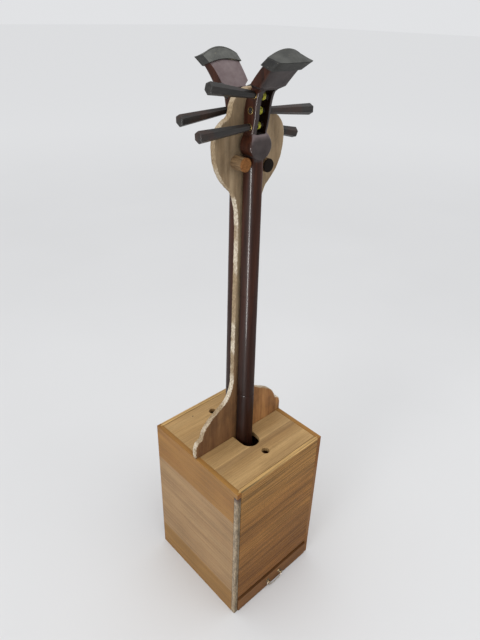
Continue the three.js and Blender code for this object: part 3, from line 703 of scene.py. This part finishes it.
def lid_wood():
    return wood(
        "lid_wood", "X", (168, 132, 85), (198, 163, 111), 7, 0.84, across="y",
        boards=(
            (-0.058, 0.003, (0.86, 0.86, 0.9, 1)),
            (-0.0455, 0.0006, (1.4, 1.42, 1.4, 1)),
            (-0.0425, 0.0006, (0.83, 0.82, 0.8, 1)),
            (0.052, 0.0015, (1.08, 1.08, 1.06, 1)),
            (0.078, 0.003, (0.95, 0.94, 0.94, 1)),
        ),
    )


def build_case():
    plain = wood("case_inside", "Y", (150, 118, 80), (182, 150, 110), 11)
    side, panel, top = side_panel_wood(), lift_panel_wood(), lid_wood()
    for label in ("left", "right"):
        node = label + "_side_panel"
        dress(shaped(node, label + "_side_board", 0.0007), side, "paulownia", "stand", node)
    for label in ("front", "back"):
        node, lid = label + "_panel", label + "_lid"
        dress(shaped(node, label + "_lift_board", 0.0005), panel, "paulownia", node, node)
        dress(shaped(lid, label + "_lid_board", 0.0006), top, "paulownia", lid, lid)
    fittings = {
        "front_rail": panel, "back_base_board": panel, "shelf": plain, "lid_ledge_left": plain,
        "lid_ledge_right": plain, "drawer_runner_left": plain, "drawer_runner_right": plain,
    }
    for name, finish in fittings.items():
        dress(shaped(name, name + "_strip", 0.0005), finish, "paulownia", "stand", name)
    build_worn_corner()
    build_lid_pin()
    return plain


def build_worn_corner():
    """Torn fibres filling the shallow step along the left panel's front corner."""
    bottom, top = 0.0002, CASE_TOP - 0.0108
    width, depth, least = BOARD - 0.0002, 0.00078, 0.00018
    rows, around = 150, 22
    verts = []
    for r in range(rows + 1):
        z = bottom + (top - bottom) * r / rows
        fade = min(1.0, (top - z) / 0.004)
        for i in range(around + 1):
            along = 2 * i / around - 1  # from the side face, round the corner, to the front face
            x = CASE_LOW.x + max(0.0, along) * width
            y = -HALF_DEPTH + max(0.0, -along) * width
            inward = Vector((1 if along <= 0 else 0, 1 if along >= 0 else 0, 0))
            rough = noise.noise(Vector((along * 6, 0.3, z * 330)))
            rough += 0.6 * noise.noise(Vector((along * 16, 4.7, z * 900)))
            corner = 0.0006 * max(0.0, 1 - abs(along) * 9)
            edge = depth * max(0.0, abs(along) * 8 - 7)
            sink = depth * (0.42 + 0.36 * rough) * fade + corner + edge
            verts.append(Vector((x, y, z)) + inward * min(max(sink, least), depth))
    faces = quads(rows + 1, around + 1, closed_columns=False)
    piece = tidy_faces(new_object("worn_corner", verts, faces), 80)
    thicken(piece, "backing", 0.0003)
    dress(piece, torn_fibres(), "paulownia", "stand")


def thicken(piece, name, thickness):
    """Gives an open sheet a thickness, half to either side."""
    solid = piece.modifiers.new(name, "SOLIDIFY")
    solid.thickness = thickness
    solid.offset = 0


def build_lid_pin():
    """The small dark pin in the back lid."""
    place = (-0.039, 0.091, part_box("back_lid")[1].z - 0.0004)
    profile = [(0, 0.0008), (0.0008, 0.0007), (0.0014, 0.0003), (0.0015, -0.0015), (0, -0.0015)]
    pin = lathe("back_lid_pin", profile, 20)
    moved(pin, Matrix.Translation(place) @ Matrix.Rotation(pi / 2, 4, "X"))
    dress(pin, SHARED["thread"], "pull_metal", "back_lid")


# ---------------------------------------------------------------- divider
def lean_at(z):
    """The divider's sideways lean at a height, from its shoulders to its head."""
    t = min(max((z - LEAN_FROM) / (LEAN_TO - LEAN_FROM), 0.0), 1.0)
    return HEAD_LEAN * t * t * (3 - 2 * t)


def divider_outline():
    """The outline as x and z, from the middle of the foot round to the right and back."""
    foot, ledge_low, ledge_high = DIVIDER_LOW.z, 0.3176, CASE_TOP - BOARD
    slot, rest = FOOT_HALF_WIDTH - 0.0083, CASE_TOP + GAP
    corners = (
        (0, foot), (FOOT_HALF_WIDTH, foot), (FOOT_HALF_WIDTH, ledge_low), (slot, ledge_low),
        (slot, ledge_high), (FOOT_HALF_WIDTH, ledge_high), (FOOT_HALF_WIDTH, rest),
        (HALF_WIDTH, rest), (HALF_WIDTH, CASE_TOP + 0.016),
    )
    right = [Vector(p) for p in corners]
    curves = (
        ((HALF_WIDTH, 0.3628), (0.103, 0.3707), (0.093, 0.372)),
        ((0.091, 0.388), (0.079, 0.402), (0.058, 0.414)),
        ((0.042, 0.423), (0.026, 0.428), (STEM_HALF_WIDTH, 0.465)),
        ((STEM_HALF_WIDTH, 0.555), (STEM_HALF_WIDTH, 0.645), (STEM_HALF_WIDTH, 0.735)),
        ((0.022, 0.775), (0.025, 0.790), (0.034, 0.806)),
        ((0.052, 0.822), (HEAD_HALF_WIDTH, 0.838), (HEAD_HALF_WIDTH, 0.874)),
        ((HEAD_HALF_WIDTH, 0.890), (0.060, 0.902), (0.046, 0.907)),
        ((0.041, 0.909), (0.039, 0.912), (0.038, 0.919)),
        ((0.037, 0.934), (0.022, DIVIDER_HIGH.z), (0, DIVIDER_HIGH.z)),
    )
    for first, second, end in curves:
        right += bezier(right[-1], first, second, end)
    right = even(right, RIM_STEP)
    left = [Vector((-p.x, p.y)) for p in reversed(right[1:-1])]
    return [Vector((p.x + lean_at(p.y), p.y)) for p in right + left]


def build_divider():
    """The carved board: chipped, rounded edges, and a rim measure that fades away from them."""
    outline = divider_outline()
    count = len(outline)
    half = (DIVIDER_HIGH.y - DIVIDER_LOW.y) / 2
    work = bmesh.new()
    rim = work.verts.layers.float.new("rim")
    grid = []
    for row in (-1.0, -0.95, -0.8, -0.45, 0.0, 0.45, 0.8, 0.95, 1.0):
        line = []
        for i, point in enumerate(outline):
            along = (outline[(i + 1) % count] - outline[i - 1]).normalized()
            exposed = point.y > EXPOSED_FROM
            place = Vector((point.x, row * 0.011, point.y))
            chip = noise.noise(place * 120) + 0.7 * noise.noise(place * 310)
            inset = 0.0012 * max(0.0, (abs(row) - 0.8) / 0.2) ** 2
            inset += max(0.0, 0.0003 + 0.0006 * chip) if exposed else 0.0
            spot = point - Vector((along.y, -along.x)) * inset
            vert = work.verts.new((spot.x, row * half, spot.y))
            vert[rim] = 1.0 if exposed else 0.0
            line.append(vert)
        grid.append(line)
    verts = [vert for line in grid for vert in line]
    for corners in quads(len(grid), count):
        work.faces.new([verts[i] for i in corners])
    fill_face(work, rim, grid[0], -half)
    fill_face(work, rim, grid[-1], half)
    piece = tidy_faces(object_from("divider_board_carved", work), 60)
    dress(piece, divider_wood(), "divider_wood", "stand", "divider_board")


def fill_face(work, rim, border, depth):
    """Triangulates one flat face, with points inside it that carry their distance to the edge."""
    edge = [Vector((v.co.x, v.co.z)) for v in border]
    near = kdtree.KDTree(len(edge))
    for i, point in enumerate(edge):
        near.insert((point.x, 0, point.y), i)
    near.balance()
    inner = []
    for row in range(int((DIVIDER_HIGH.z - DIVIDER_LOW.z) / FILL_STEP)):
        z = DIVIDER_LOW.z + FILL_STEP * (row + 0.5)
        for column in range(-61, 62):
            x = FILL_STEP * (column + 0.5 * (row % 2))
            distance = near.find((x, 0, z))[2]
            coarse = row % 4 == 0 and column % 4 == 0
            if FILL_START < distance and (distance < FILL_THIN or coarse):
                inner.append(Vector((x, z)))
    count = len(edge)
    sides = [(i, (i + 1) % count) for i in range(count)]
    points, _, faces, sources, _, _ = geometry.delaunay_2d_cdt(edge + inner, sides, [], 1, 1e-7)
    verts = {}
    for i in sorted({i for face in faces for i in face}):
        point, source = points[i], sources[i]
        if source and source[0] < count:
            verts[i] = border[source[0]]
            continue
        verts[i] = work.verts.new((point.x, depth, point.y))
        distance = near.find((point.x, 0, point.y))[2]
        verts[i][rim] = max(0.0, 1 - distance / RIM_FADE) if point.y > EXPOSED_FROM else 0.0
    for face in faces:
        corners = [verts[i] for i in face]
        if len(set(corners)) == 3:
            work.faces.new(corners)


def build_dowels():
    """The two worn rods through the divider's head."""
    tones = {
        "rest_dowel_left": ((100, 62, 32), (146, 98, 54)),
        # Painted shade: the right rod's end is nearly black, shaded by the neck and head in front
        # of it.
        "rest_dowel_right": ((16, 11, 8), (30, 21, 15)),
    }
    for node, (dark, light) in tones.items():
        low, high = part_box(node)
        radius, end = (high.x - low.x) / 2, high.y
        finish = end_grain(node + "_wood", dark, light, end)
        worn = 0.0012
        profile = [(0, -end), (radius * 0.55, -end), (radius - worn, 0.0002 - end)]
        profile += [(radius - 0.3 * worn, 0.3 * worn - end), (radius, worn - end)]
        profile += [(r, -h) for r, h in reversed(profile)]
        piece = lathe(node + "_turned", profile, 48)
        for vert in piece.data.vertices:
            wobble = noise.noise(vert.co * 260 + Vector((7, 0, 0)))
            vert.co += Vector((vert.co.x, 0, vert.co.z)).normalized() * 0.0003 * (wobble - 0.5)
        middle = (low + high) / 2
        moved(piece, Matrix.Translation((middle.x, 0, middle.z)))
        dress(piece, finish, "divider_wood", "stand", node)


# ---------------------------------------------------------------- drawer
def build_drawer(plain):
    front = wood(
        "drawer_front_wood", "X", (126, 83, 42), (140, 95, 50), 15, 0.72, 0.7,
        # Painted shade: the top few millimetres of the front are darker, under the gap above the
        # drawer.
        boards=((0.0325, 0.0008, (0.72, 0.68, 0.64, 1)),),
    )
    node = "drawer_front"
    dress(shaped(node, "drawer_face", 0.0006), front, "paulownia", "drawer", node)
    for name in ("drawer_side_left", "drawer_side_right", "drawer_back", "drawer_bottom"):
        dress(shaped(name, name + "_board", 0.0004), plain, "paulownia", "drawer", name)
    build_pull()


def build_pull():
    """Two turned eye posts on round roses, and the thin wire bail that hangs between them."""
    dull = metal("pull_metal", (66, 52, 38), (150, 132, 104), 0.38)
    wire = metal("bail_metal", (120, 104, 84), (206, 200, 188), 0.26)
    for side in ("left", "right"):
        node = "pull_post_" + side
        dress(shaped(node, "eye_post_" + side, 0.00015), dull, "pull_metal", "drawer", node)
        low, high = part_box(node)
        middle = (low + high) / 2
        rose = ring("rose_" + side, 0.0036, 0.0005)
        moved(rose, Matrix.Translation((middle.x, high.y - 0.0004, middle.z)))
        dress(rose, dull, "pull_metal", "drawer")
    low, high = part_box("pull_bail")
    radius = (high.y - low.y) / 2
    half, depth = high.x - radius, (low.y + high.y) / 2
    post_low, post_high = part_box("pull_post_right")
    pin_z = (post_low.z + post_high.z) / 2
    pin, bend = half - 0.008, half - 0.0018
    drop = pin_z - low.z - radius
    steps = 60
    points = [(pin, depth, pin_z), (bend, depth, pin_z)]
    for i in range(2, steps - 1):
        turn = pi * i / steps
        points.append((half * cos(turn), depth, pin_z - drop * sin(turn) ** 0.8))
    points += [(-bend, depth, pin_z), (-pin, depth, pin_z)]
    bail = tube("bail_wire", points, radius * 0.86, 12)
    dress(bail, wire, "pull_metal", "drawer_pull", "pull_bail")


# ---------------------------------------------------------------- shamisen: neck and head
def section(key, shrink=(1.0, 1.0)):
    """A flat or crowned string side, and an outer side whose corners round off as power falls.

    key holds the string side's y and z, the outer side's y and z, the half width, the power and
    the crown's y and z. shrink draws the section towards its middle, across and in depth, on the
    same surface.
    """
    string_y, string_z, outer_y, outer_z, half, power, crown_y, crown_z = key
    flat, rounds = 14, 44
    points = []

    def place(x, inset):
        x, inset = x * shrink[0], 0.5 + (inset - 0.5) * shrink[1]
        lift = (1 - (x / half) ** 2) * (1 - inset)
        y = string_y + inset * (outer_y - string_y) + lift * crown_y
        z = string_z + inset * (outer_z - string_z) + lift * crown_z
        points.append(Vector((x, y, z)))

    for i in range(flat + 1):
        place(half - 2 * half * i / flat, 0.0)
    for i in range(1, rounds):
        turn = pi - pi * i / rounds
        reach = copysign(abs(cos(turn)) ** (2 / power), cos(turn))
        place(half * reach, sin(turn) ** (2 / power))
    return points


def neck_key(z):
    """The neck's section at a height between the body and the head."""
    share = (z - 0.265) / (0.850 - 0.265)
    half = 0.0144 - 0.0011 * share
    return (STRING_FACE, z, -0.032 + 0.0038 * share, z, half, 2.5, 0.0, 0.0)


def level_key(z, half, back, power=9, face=STRING_FACE * 1000):
    """A level section, given in millimetres."""
    return (face * MM, z * MM, back * MM, z * MM, half * MM, power, 0.0, 0.0)


# The tail's string-side and outer edges as y and z, and its half width, in millimetres.
TAIL = (
    ((-23, 946.5), (-42, 944.5), 16.2),
    ((-27.5, 950.8), (-47.6, 947.7), 24.2),
    ((-38.5, 962.5), (-56, 957.5), 25),
    ((-50.5, 972.8), (-65.5, 968), 26.8),
    ((-61.8, 980.6), (-79, 976.6), 28.6),
)
TAIL_POWER = 9
TAIL_CROWN = (-2.6, 9)
TAIL_DIRECTION = Vector((-0.83, 0.56))


def tail_key(index, shift, grow=0.0, push=0.0):
    """One section of the tail, made larger all round and pushed along the tail."""
    string, outer, half = TAIL[index]
    bend = Vector(shift) * (index / (len(TAIL) - 1))
    string = Vector(string) * MM + bend
    outer = Vector(outer) * MM + bend
    across = (string - outer).normalized()
    string += grow * across + push * TAIL_DIRECTION
    outer += -grow * across + push * TAIL_DIRECTION
    rise = max(0, index - 1) / (len(TAIL) - 2)
    crown = [value * MM * rise ** 2 for value in TAIL_CROWN]
    return (*string, *outer, half * MM + grow, TAIL_POWER, *crown)


def through(keys, steps):
    """Sections evenly spaced along a row of key sections, without overshoot."""
    places = [0.0]
    for before, after in zip(keys, keys[1:]):
        string = hypot(after[0] - before[0], after[1] - before[1])
        outer = hypot(after[2] - before[2], after[3] - before[3])
        places.append(places[-1] + (string + outer) / 2)
    stops = [places[-1] * i / steps for i in range(steps + 1)]
    return [section([monotone(places, values, at) for values in zip(*keys)]) for at in stops]


def head_keys(shift):
    """The sections up to the foot of the tail."""
    return [
        neck_key(0.800), neck_key(0.852), level_key(870, 13.6, -28, 3),
        level_key(889, 14.8, -27, 6), level_key(897, 14.6, -28.5, 8),
        level_key(909, 14.7, -30.8, 8), level_key(920, 15.1, -32.2, 8, -9.6),
        (-0.0125, 0.931, -0.034, 0.931, 0.0156, 8, 0, 0),
        (-0.018, 0.941, -0.0374, 0.9404, 0.0158, 8, 0, 0),
        tail_key(0, shift),
    ]


def egg_boss():
    """The egg-shaped boss under the peg box, proud of the neck's round back."""
    keys = [
        level_key(853, 4, -29.6), level_key(854.2, 8.5, -30), level_key(857, 13.2, -30.6),
        level_key(861.5, 17.4, -31), level_key(867, 20.2, -31.2), level_key(872, 20.8, -31.2),
        level_key(878, 19.6, -30.4), level_key(884, 16.8, -28.8), level_key(889, 13.5, -26),
    ]
    return loft("egg_boss", through(keys, 44))


def peg_slot():
    """The open slot of the peg box, which leans with the head."""
    side = (
        (0, SLOT_BOTTOM), (-0.05, SLOT_BOTTOM - 0.002), (-0.05, SLOT_TOP + 0.0035),
        (-0.038, SLOT_TOP + 0.0015), (-0.017, SLOT_TOP + 0.003), (0, SLOT_TOP + 0.003),
    )
    rings = [[Vector((x, y, z)) for y, z in side] for x in (-SLOT_HALF_WIDTH, SLOT_HALF_WIDTH)]
    return loft("slot_tool", rings)


def on_axis(peg):
    """The matrix that brings a piece built along +Y onto a peg's axis."""
    turned = Vector((0, 1, 0)).rotation_difference(Vector(peg["way"]).normalized())
    return Matrix.Translation((0, peg["y"], peg["z"])) @ turned.to_matrix().to_4x4()


def peg_bore(peg):
    """The round hole through both cheeks for a peg."""
    profile = [(0, -BORE_REACH), (BORE_RADIUS, -BORE_REACH)]
    profile += [(r, -h) for r, h in reversed(profile)]
    return moved(lathe("bore_tool", profile, 32), on_axis(peg))


def build_head(label, finish):
    """The neck's upper stretch with the peg box and the tail, in one piece."""
    shift = TAIL_SHIFT[label]
    rings = [section(neck_key(UPPER_JOINT + GAP))]
    rings += through(head_keys(shift), 80)
    rings += through([tail_key(i, shift) for i in range(1, len(TAIL))], 24)
    head = loft(f"{label}_head_and_neck", rings)
    combine(head, "UNION", egg_boss())
    bores = [peg_bore(peg) for peg in PEGS[label].values()]
    combine(head, "DIFFERENCE", peg_slot(), *bores)
    round_edges(head, 0.00035, 2, 38)
    moved(head, PLACE[label])
    dress(head, finish, "neck_wood", f"{label}_shamisen", f"{label}_neck_upper")


def build_neck(label, finish):
    """The two lower stretches of the neck, with the heel, spike and end pin."""
    body = f"{label}_shamisen"
    ends = [section(neck_key(z)) for z in (LOWER_JOINT + GAP, UPPER_JOINT)]
    middle = round_edges(loft(f"{label}_neck_stretch", ends), 0.0003, 2, 50)
    dress(moved(middle, PLACE[label]), finish, "neck_wood", body, f"{label}_neck_middle")
    heel = NECK_FOOT + GAP
    keys = [
        (STRING_FACE, heel, -0.044, heel, 0.0146, 2.6, 0, 0),
        (STRING_FACE, heel + 0.012, -0.035, heel + 0.012, 0.0145, 2.5, 0, 0),
        neck_key(heel + 0.03), neck_key(0.36), neck_key(LOWER_JOINT),
    ]
    lower = round_edges(loft(f"{label}_neck_heel", through(keys, 40)), 0.0003, 2, 50)
    moved(lower, PLACE[label])
    cut = heel + 0.003 - (BACK_DROP if label == "back" else 0)
    whole = joined(f"{label}_neck_foot", [lower, spike_below(label, cut)])
    dress(whole, finish, "neck_wood", body, f"{label}_neck_lower")


def spike_below(label, height):
    """The CAD spike and end pin, cut off level at a height."""
    spike = shaped(f"{label}_neck_lower", f"{label}_spike", 0.0004)
    with editing(spike) as work:
        sliced = bmesh.ops.bisect_plane(
            work, geom=work.verts[:] + work.edges[:] + work.faces[:],
            plane_co=(0, 0, height), plane_no=(0, 0, 1), clear_outer=True,
        )
        loose = [e for e in sliced["geom_cut"] if isinstance(e, bmesh.types.BMEdge)]
        bmesh.ops.holes_fill(work, edges=loose)
    return spike


def build_cap(label, seed):
    """The leather cap: a thin shell over the end of the tail, worn along its edges."""
    shift = TAIL_SHIFT[label]
    clearance = 0.0005
    start = tail_key(CAP_RIM, shift, CAP_WALL)
    end = tail_key(CAP_RIM + 1, shift, CAP_WALL, CAP_WALL)
    rings = through([start, end], 10)
    for shrink in ((0.965, 0.92), (0.75, 0.7), (0.5, 0.45), (0.25, 0.2), (0.05, 0.05)):
        rings.append(section(end, shrink))
    cap = loft(f"{label}_cap_hide", rings)
    hollow = [tail_key(i, shift, clearance) for i in (CAP_RIM - 1, CAP_RIM)]
    hollow.append(tail_key(CAP_RIM + 1, shift, clearance, clearance))
    combine(cap, "DIFFERENCE", loft("cap_tool", through(hollow, 10)))
    round_edges(cap, 0.0007, 3, 45)
    cap.modifiers.clear()
    mark_rim(cap, 0.0009)
    moved(cap, PLACE[label])
    finish = cap_leather(f"{label}_cap_leather", seed, CAP_TONE[label])
    dress(cap, finish, "cap_leather", f"{label}_shamisen", f"{label}_head_cap")
    edge = through([start, end], 12)[11]
    seam = closed_tube(f"{label}_cap_seam", even([*edge, edge[0]], 0.001)[:-1], 0.0003)
    moved(seam, PLACE[label])
    dress(seam, SHARED["thread"], "cap_leather", f"{label}_shamisen")


def mark_rim(piece, width):
    """Stores how sharply the surface turns at each vertex, for wear along the edges.

    Every wide face first gets a border of its own, so that the wear stays on the edges.
    """
    with editing(piece) as work:
        wide = [f for f in work.faces if f.calc_area() > 0.00005]
        bmesh.ops.inset_individual(work, faces=wide, thickness=width, use_even_offset=False)
    with editing(piece) as work:
        work.normal_update()
        rim = work.verts.layers.float.new("rim")
        for vert in work.verts:
            turn = max((e.calc_face_angle(0) for e in vert.link_edges), default=0)
            vert[rim] = min(1.0, turn / 0.5)


# ---------------------------------------------------------------- shamisen: pegs and strings
def peg_parts(reach):
    """A peg's round shaft and its six-sided handle, along +Y."""
    shaft_end = HANDLE_START + 0.003
    shaft = lathe("shaft", [
        (0, SHAFT_START), (SHAFT_RADIUS - 0.0008, SHAFT_START),
        (SHAFT_RADIUS - 0.0003, SHAFT_START + 0.0005), (SHAFT_RADIUS, shaft_end), (0, shaft_end),
    ], 32)
    bevel = 0.0014
    belly = HANDLE_INNER_RADIUS + 0.55 * (HANDLE_OUTER_RADIUS - HANDLE_INNER_RADIUS)
    handle = lathe("handle", [
        (0, HANDLE_START), (HANDLE_INNER_RADIUS - 0.0006, HANDLE_START),
        (HANDLE_INNER_RADIUS, HANDLE_START + 0.0008), (belly, (HANDLE_START + reach) / 2),
        (HANDLE_OUTER_RADIUS, reach - bevel), (HANDLE_OUTER_RADIUS - bevel, reach),
        (0, reach + 0.0006),
    ], 6)
    round_edges(handle, 0.0004, 3, 20)
    return [shaft, handle]


def build_pegs(label):
    """The three pegs, each on its slanted axis, with a thin ring round either hole."""
    for name, peg in PEGS[label].items():
        node = f"{label}_peg_{name}"
        lean = Vector(peg["way"]).length
        place = PLACE[label] @ on_axis(peg)
        piece = keep_flats(joined(node + "_carved", peg_parts(peg["reach"] * lean)), 28)
        dress(moved(piece, place), SHARED["peg"], "peg_wood", node, node)
        for side, tag in ((-1, "far"), (1, "near")):
            band = ring(f"{label}_{name}_ferrule_{tag}", FERRULE_RADIUS, FERRULE_WIRE)
            moved(band, place @ Matrix.Translation((0, side * (CHEEK + 0.0002) * lean, 0)))
            dress(band, SHARED["gold"], "pull_metal", f"{label}_shamisen")


def string_run(routes, peg, coil=0.0052):
    """A string's straight stretches, from the tail cord over the nut to its peg."""
    x_tail, x_nut, x_peg = (x * MM for x in routes)
    tail_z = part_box("front_string_middle")[0].z
    over_nut, on_skin = STRING_FACE + 0.0024, STRING_FACE + 0.0014
    stops = [
        (x_tail, on_skin, tail_z),
        ((x_tail + x_nut) / 2, on_skin + 0.0005, (tail_z + NUT_Z) / 2),
        (x_nut, over_nut, NUT_Z - 0.0015), (x_nut, over_nut, NUT_Z + 0.0015),
        (x_peg, peg["y"] + coil - 2 * STRING_RADIUS, peg["z"] - 0.001),
    ]
    return tube("run", even([Vector(s) for s in stops], 0.02), STRING_RADIUS)


def string_turns(layer, seed):
    """One layer of turns round a peg's shaft. The second layer goes back over the first."""
    radius, count, pitch = ((0.0042, 3.5, 0.0019), (0.0047, 2.5, -0.0022))[layer]
    steps = int(count * 18)
    points = []
    for i in range(steps + 1):
        turn = 2 * pi * count * i / steps
        reach = radius + 0.0003 * noise.noise(Vector((turn * 0.9, layer, seed)))
        shift = (i / steps - 0.5) * pitch * count
        points.append((reach * sin(turn), shift, reach * cos(turn)))
    return tube("turns", points, STRING_RADIUS * 0.92, 8)


def build_strings(label):
    for name, routes in STRING_ROUTES.items():
        peg = PEGS[label][name]
        parts = [string_run(routes, peg)]
        parts += [moved(string_turns(layer, routes[2]), on_axis(peg)) for layer in (0, 1)]
        piece = moved(joined(f"{label}_{name}_silk", parts), PLACE[label])
        node = f"{label}_string_{name}"
        dress(piece, SHARED["silk"], "string_silk", f"{label}_shamisen", node)


# ---------------------------------------------------------------- shamisen: body
def build_body(label, rosewood):
    body = f"{label}_shamisen"
    for side in ("top", "bottom", "left", "right"):
        node = f"{label}_body_{side}"
        dress(shaped(node, node + "_shell", 0.0012, 3), rosewood, "body_wood", body, node)
    for side in ("front", "back"):
        node = f"{label}_{side}_skin"
        dress(stretched_skin(node), SHARED["hide"], "skin_hide", body, node)
    nut, cord = f"{label}_nut", f"{label}_tail_cord"
    dress(shaped(nut, nut + "_bone", 0.0003, 3), SHARED["bone"], "nut_bone", body, nut)
    dress(tail_cord(cord), SHARED["braid"], "tail_cord", body, cord)


def stretched_skin(node):
    """A taut skin, a little domed, with a rolled and glued border."""
    low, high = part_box(node)
    middle, size = (low + high) / 2, high - low
    outward = 1 if middle.y > 0 else -1
    steps = 36
    verts = []
    for r in range(steps + 1):
        for c in range(steps + 1):
            u, v = 2 * c / steps - 1, 2 * r / steps - 1
            border = min(1.0, (1 - max(abs(u), abs(v))) / 0.06)
            dome = 0.00028 * (1 - u * u) * (1 - v * v) + 0.0002 * (1 - border)
            x, z = middle.x + u * size.x / 2, middle.z + v * size.z / 2
            verts.append((x, middle.y + dome * outward, z))
    faces = quads(steps + 1, steps + 1, closed_columns=False)
    piece = tidy_faces(new_object(node + "_hide", verts, faces))
    thicken(piece, "thickness", size.y * 0.5)
    return piece


def tail_cord(node):
    """Plaited cords that fan out from the end pin to the three strings."""
    low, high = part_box(node)
    depth, height = (low.y + high.y) / 2, high.z - low.z
    radius = (high.y - low.y) / 2 * 0.94
    strands = []
    for spread in (-1, -0.34, 0.34, 1):
        points = []
        for i in range(25):
            t = i / 24
            wave = 0.0006 * sin(t * pi * 9 + spread)
            x = spread * (0.0052 + 0.0056 * t) + wave
            points.append((x, depth, low.z + radius + t * (height - 2 * radius)))
        strands.append(tube("strand", points, radius))
    for share, half in ((0.18, 0.0062), (0.94, 0.0108)):
        points = [(half * (i / 6 - 1), depth, low.z + share * height) for i in range(13)]
        strands.append(tube("binding", points, radius * 1.04))
    return joined(node + "_plait", strands)


def build_shamisen(label, seed):
    neck = dark_wood(f"{label}_neck_wood", (34, 18, 13), (68, 37, 27), 0.42, seed, neck_tones)
    rosewood = dark_wood(f"{label}_body_wood", (78, 38, 24), (132, 70, 44), 0.32, seed)
    build_head(label, neck)
    build_neck(label, neck)
    build_cap(label, seed)
    build_pegs(label)
    build_strings(label)
    build_body(label, rosewood)


# ---------------------------------------------------------------- stage, lights and camera
CAMERA_PLACE = Vector((-0.5343, -0.5561, 1.0357))
CAMERA_HEADING = radians(46.359)  # from +X towards +Y
CAMERA_DIP = radians(30.465)
CAMERA_ROLL = radians(1.572)
CAMERA_LENS = 29.93


def add_camera():
    data = bpy.data.cameras.new("camera")
    data.lens = CAMERA_LENS
    camera = linked("camera", data)
    camera.matrix_world = (
        Matrix.Translation(CAMERA_PLACE) @ Matrix.Rotation(CAMERA_HEADING - pi / 2, 4, "Z")
        @ Matrix.Rotation(pi / 2 - CAMERA_DIP, 4, "X") @ Matrix.Rotation(CAMERA_ROLL, 4, "Z")
    )
    bpy.context.scene.camera = camera


def add_light(name, place, target, energy, kind="AREA", **settings):
    """A light that points at a target. A sun is as strong everywhere, as from a far window."""
    data = bpy.data.lights.new(name, kind)
    data.energy = energy
    for setting, value in settings.items():
        setattr(data, setting, value)
    light = linked(name, data)
    light.location = place
    light.rotation_euler = (Vector(target) - Vector(place)).to_track_quat("-Z", "Y").to_euler()
    return light


def add_panel(name, place, target, energy, width, height):
    """A soft rectangular light."""
    return add_light(name, place, target, energy, shape="RECTANGLE", size=width, size_y=height)


def floor_paper():
    """Pale matt paper with a faint unevenness, and painted light that makes it a little brighter
    far off.
    """
    look = Look("floor_paper", 0.8, Specular_IOR_Level=0.0)
    near = look.ramp(look.cloud(1.5), grey(0.72), grey(0.74), 0.3, 0.7)
    flat = look.add("VectorMath", {"Vector": look.place}, operation="LENGTH").outputs["Value"]
    # Painted light: the paper turns brighter with distance, standing in for light where the lamps
    # fall off.
    colour = look.mix(look.range(flat, 1.0, 5.0), near, grey(0.88))
    look.put(colour, look.shader.inputs["Base Color"])
    return look.material


def add_stage():
    reach = 30
    corners = [(-reach, -reach, 0), (reach, -reach, 0), (reach, reach, 0), (-reach, reach, 0)]
    floor = new_object("floor", corners, [(0, 1, 2, 3)])
    floor.data.materials.append(floor_paper())
    world = bpy.data.worlds.new("studio")
    bpy.context.scene.world = world
    world.use_nodes = True
    background = world.node_tree.nodes["Background"]
    background.inputs["Color"].default_value = (0.97, 0.98, 1.0, 1)
    background.inputs["Strength"].default_value = 0.78
    middle = (0, 0, 0.4)
    add_panel("overhead", (-0.3, -0.2, 2.6), middle, 20, 2.2, 2.2)
    add_light("left_window", (-2.2, -0.3, 1.1), (0, 0, 0.5), 0.74, "SUN", angle=radians(26))
    add_panel("front_fill", (0.9, -2.2, 1.6), middle, 4, 1.4, 1.2)
    strip = add_panel("low_strip", (-0.9, -0.13, 0.36), (0, -0.02, 0.36), 20, 0.15, 0.72)
    strip.visible_diffuse = False
    bpy.context.scene.view_settings.view_transform = "Standard"


SHARED = {
    "peg": peg_wood(),
    "gold": metal("ferrule_gold", (84, 70, 42), (160, 136, 86), 0.34),
    "silk": silk(),
    "thread": thread(),
    "hide": hide(),
    "braid": braid(),
    "bone": bone(),
}

add_camera()
add_stage()
inside_wood = build_case()
build_divider()
build_dowels()
build_drawer(inside_wood)
build_shamisen("front", 21)
build_shamisen("back", 34)
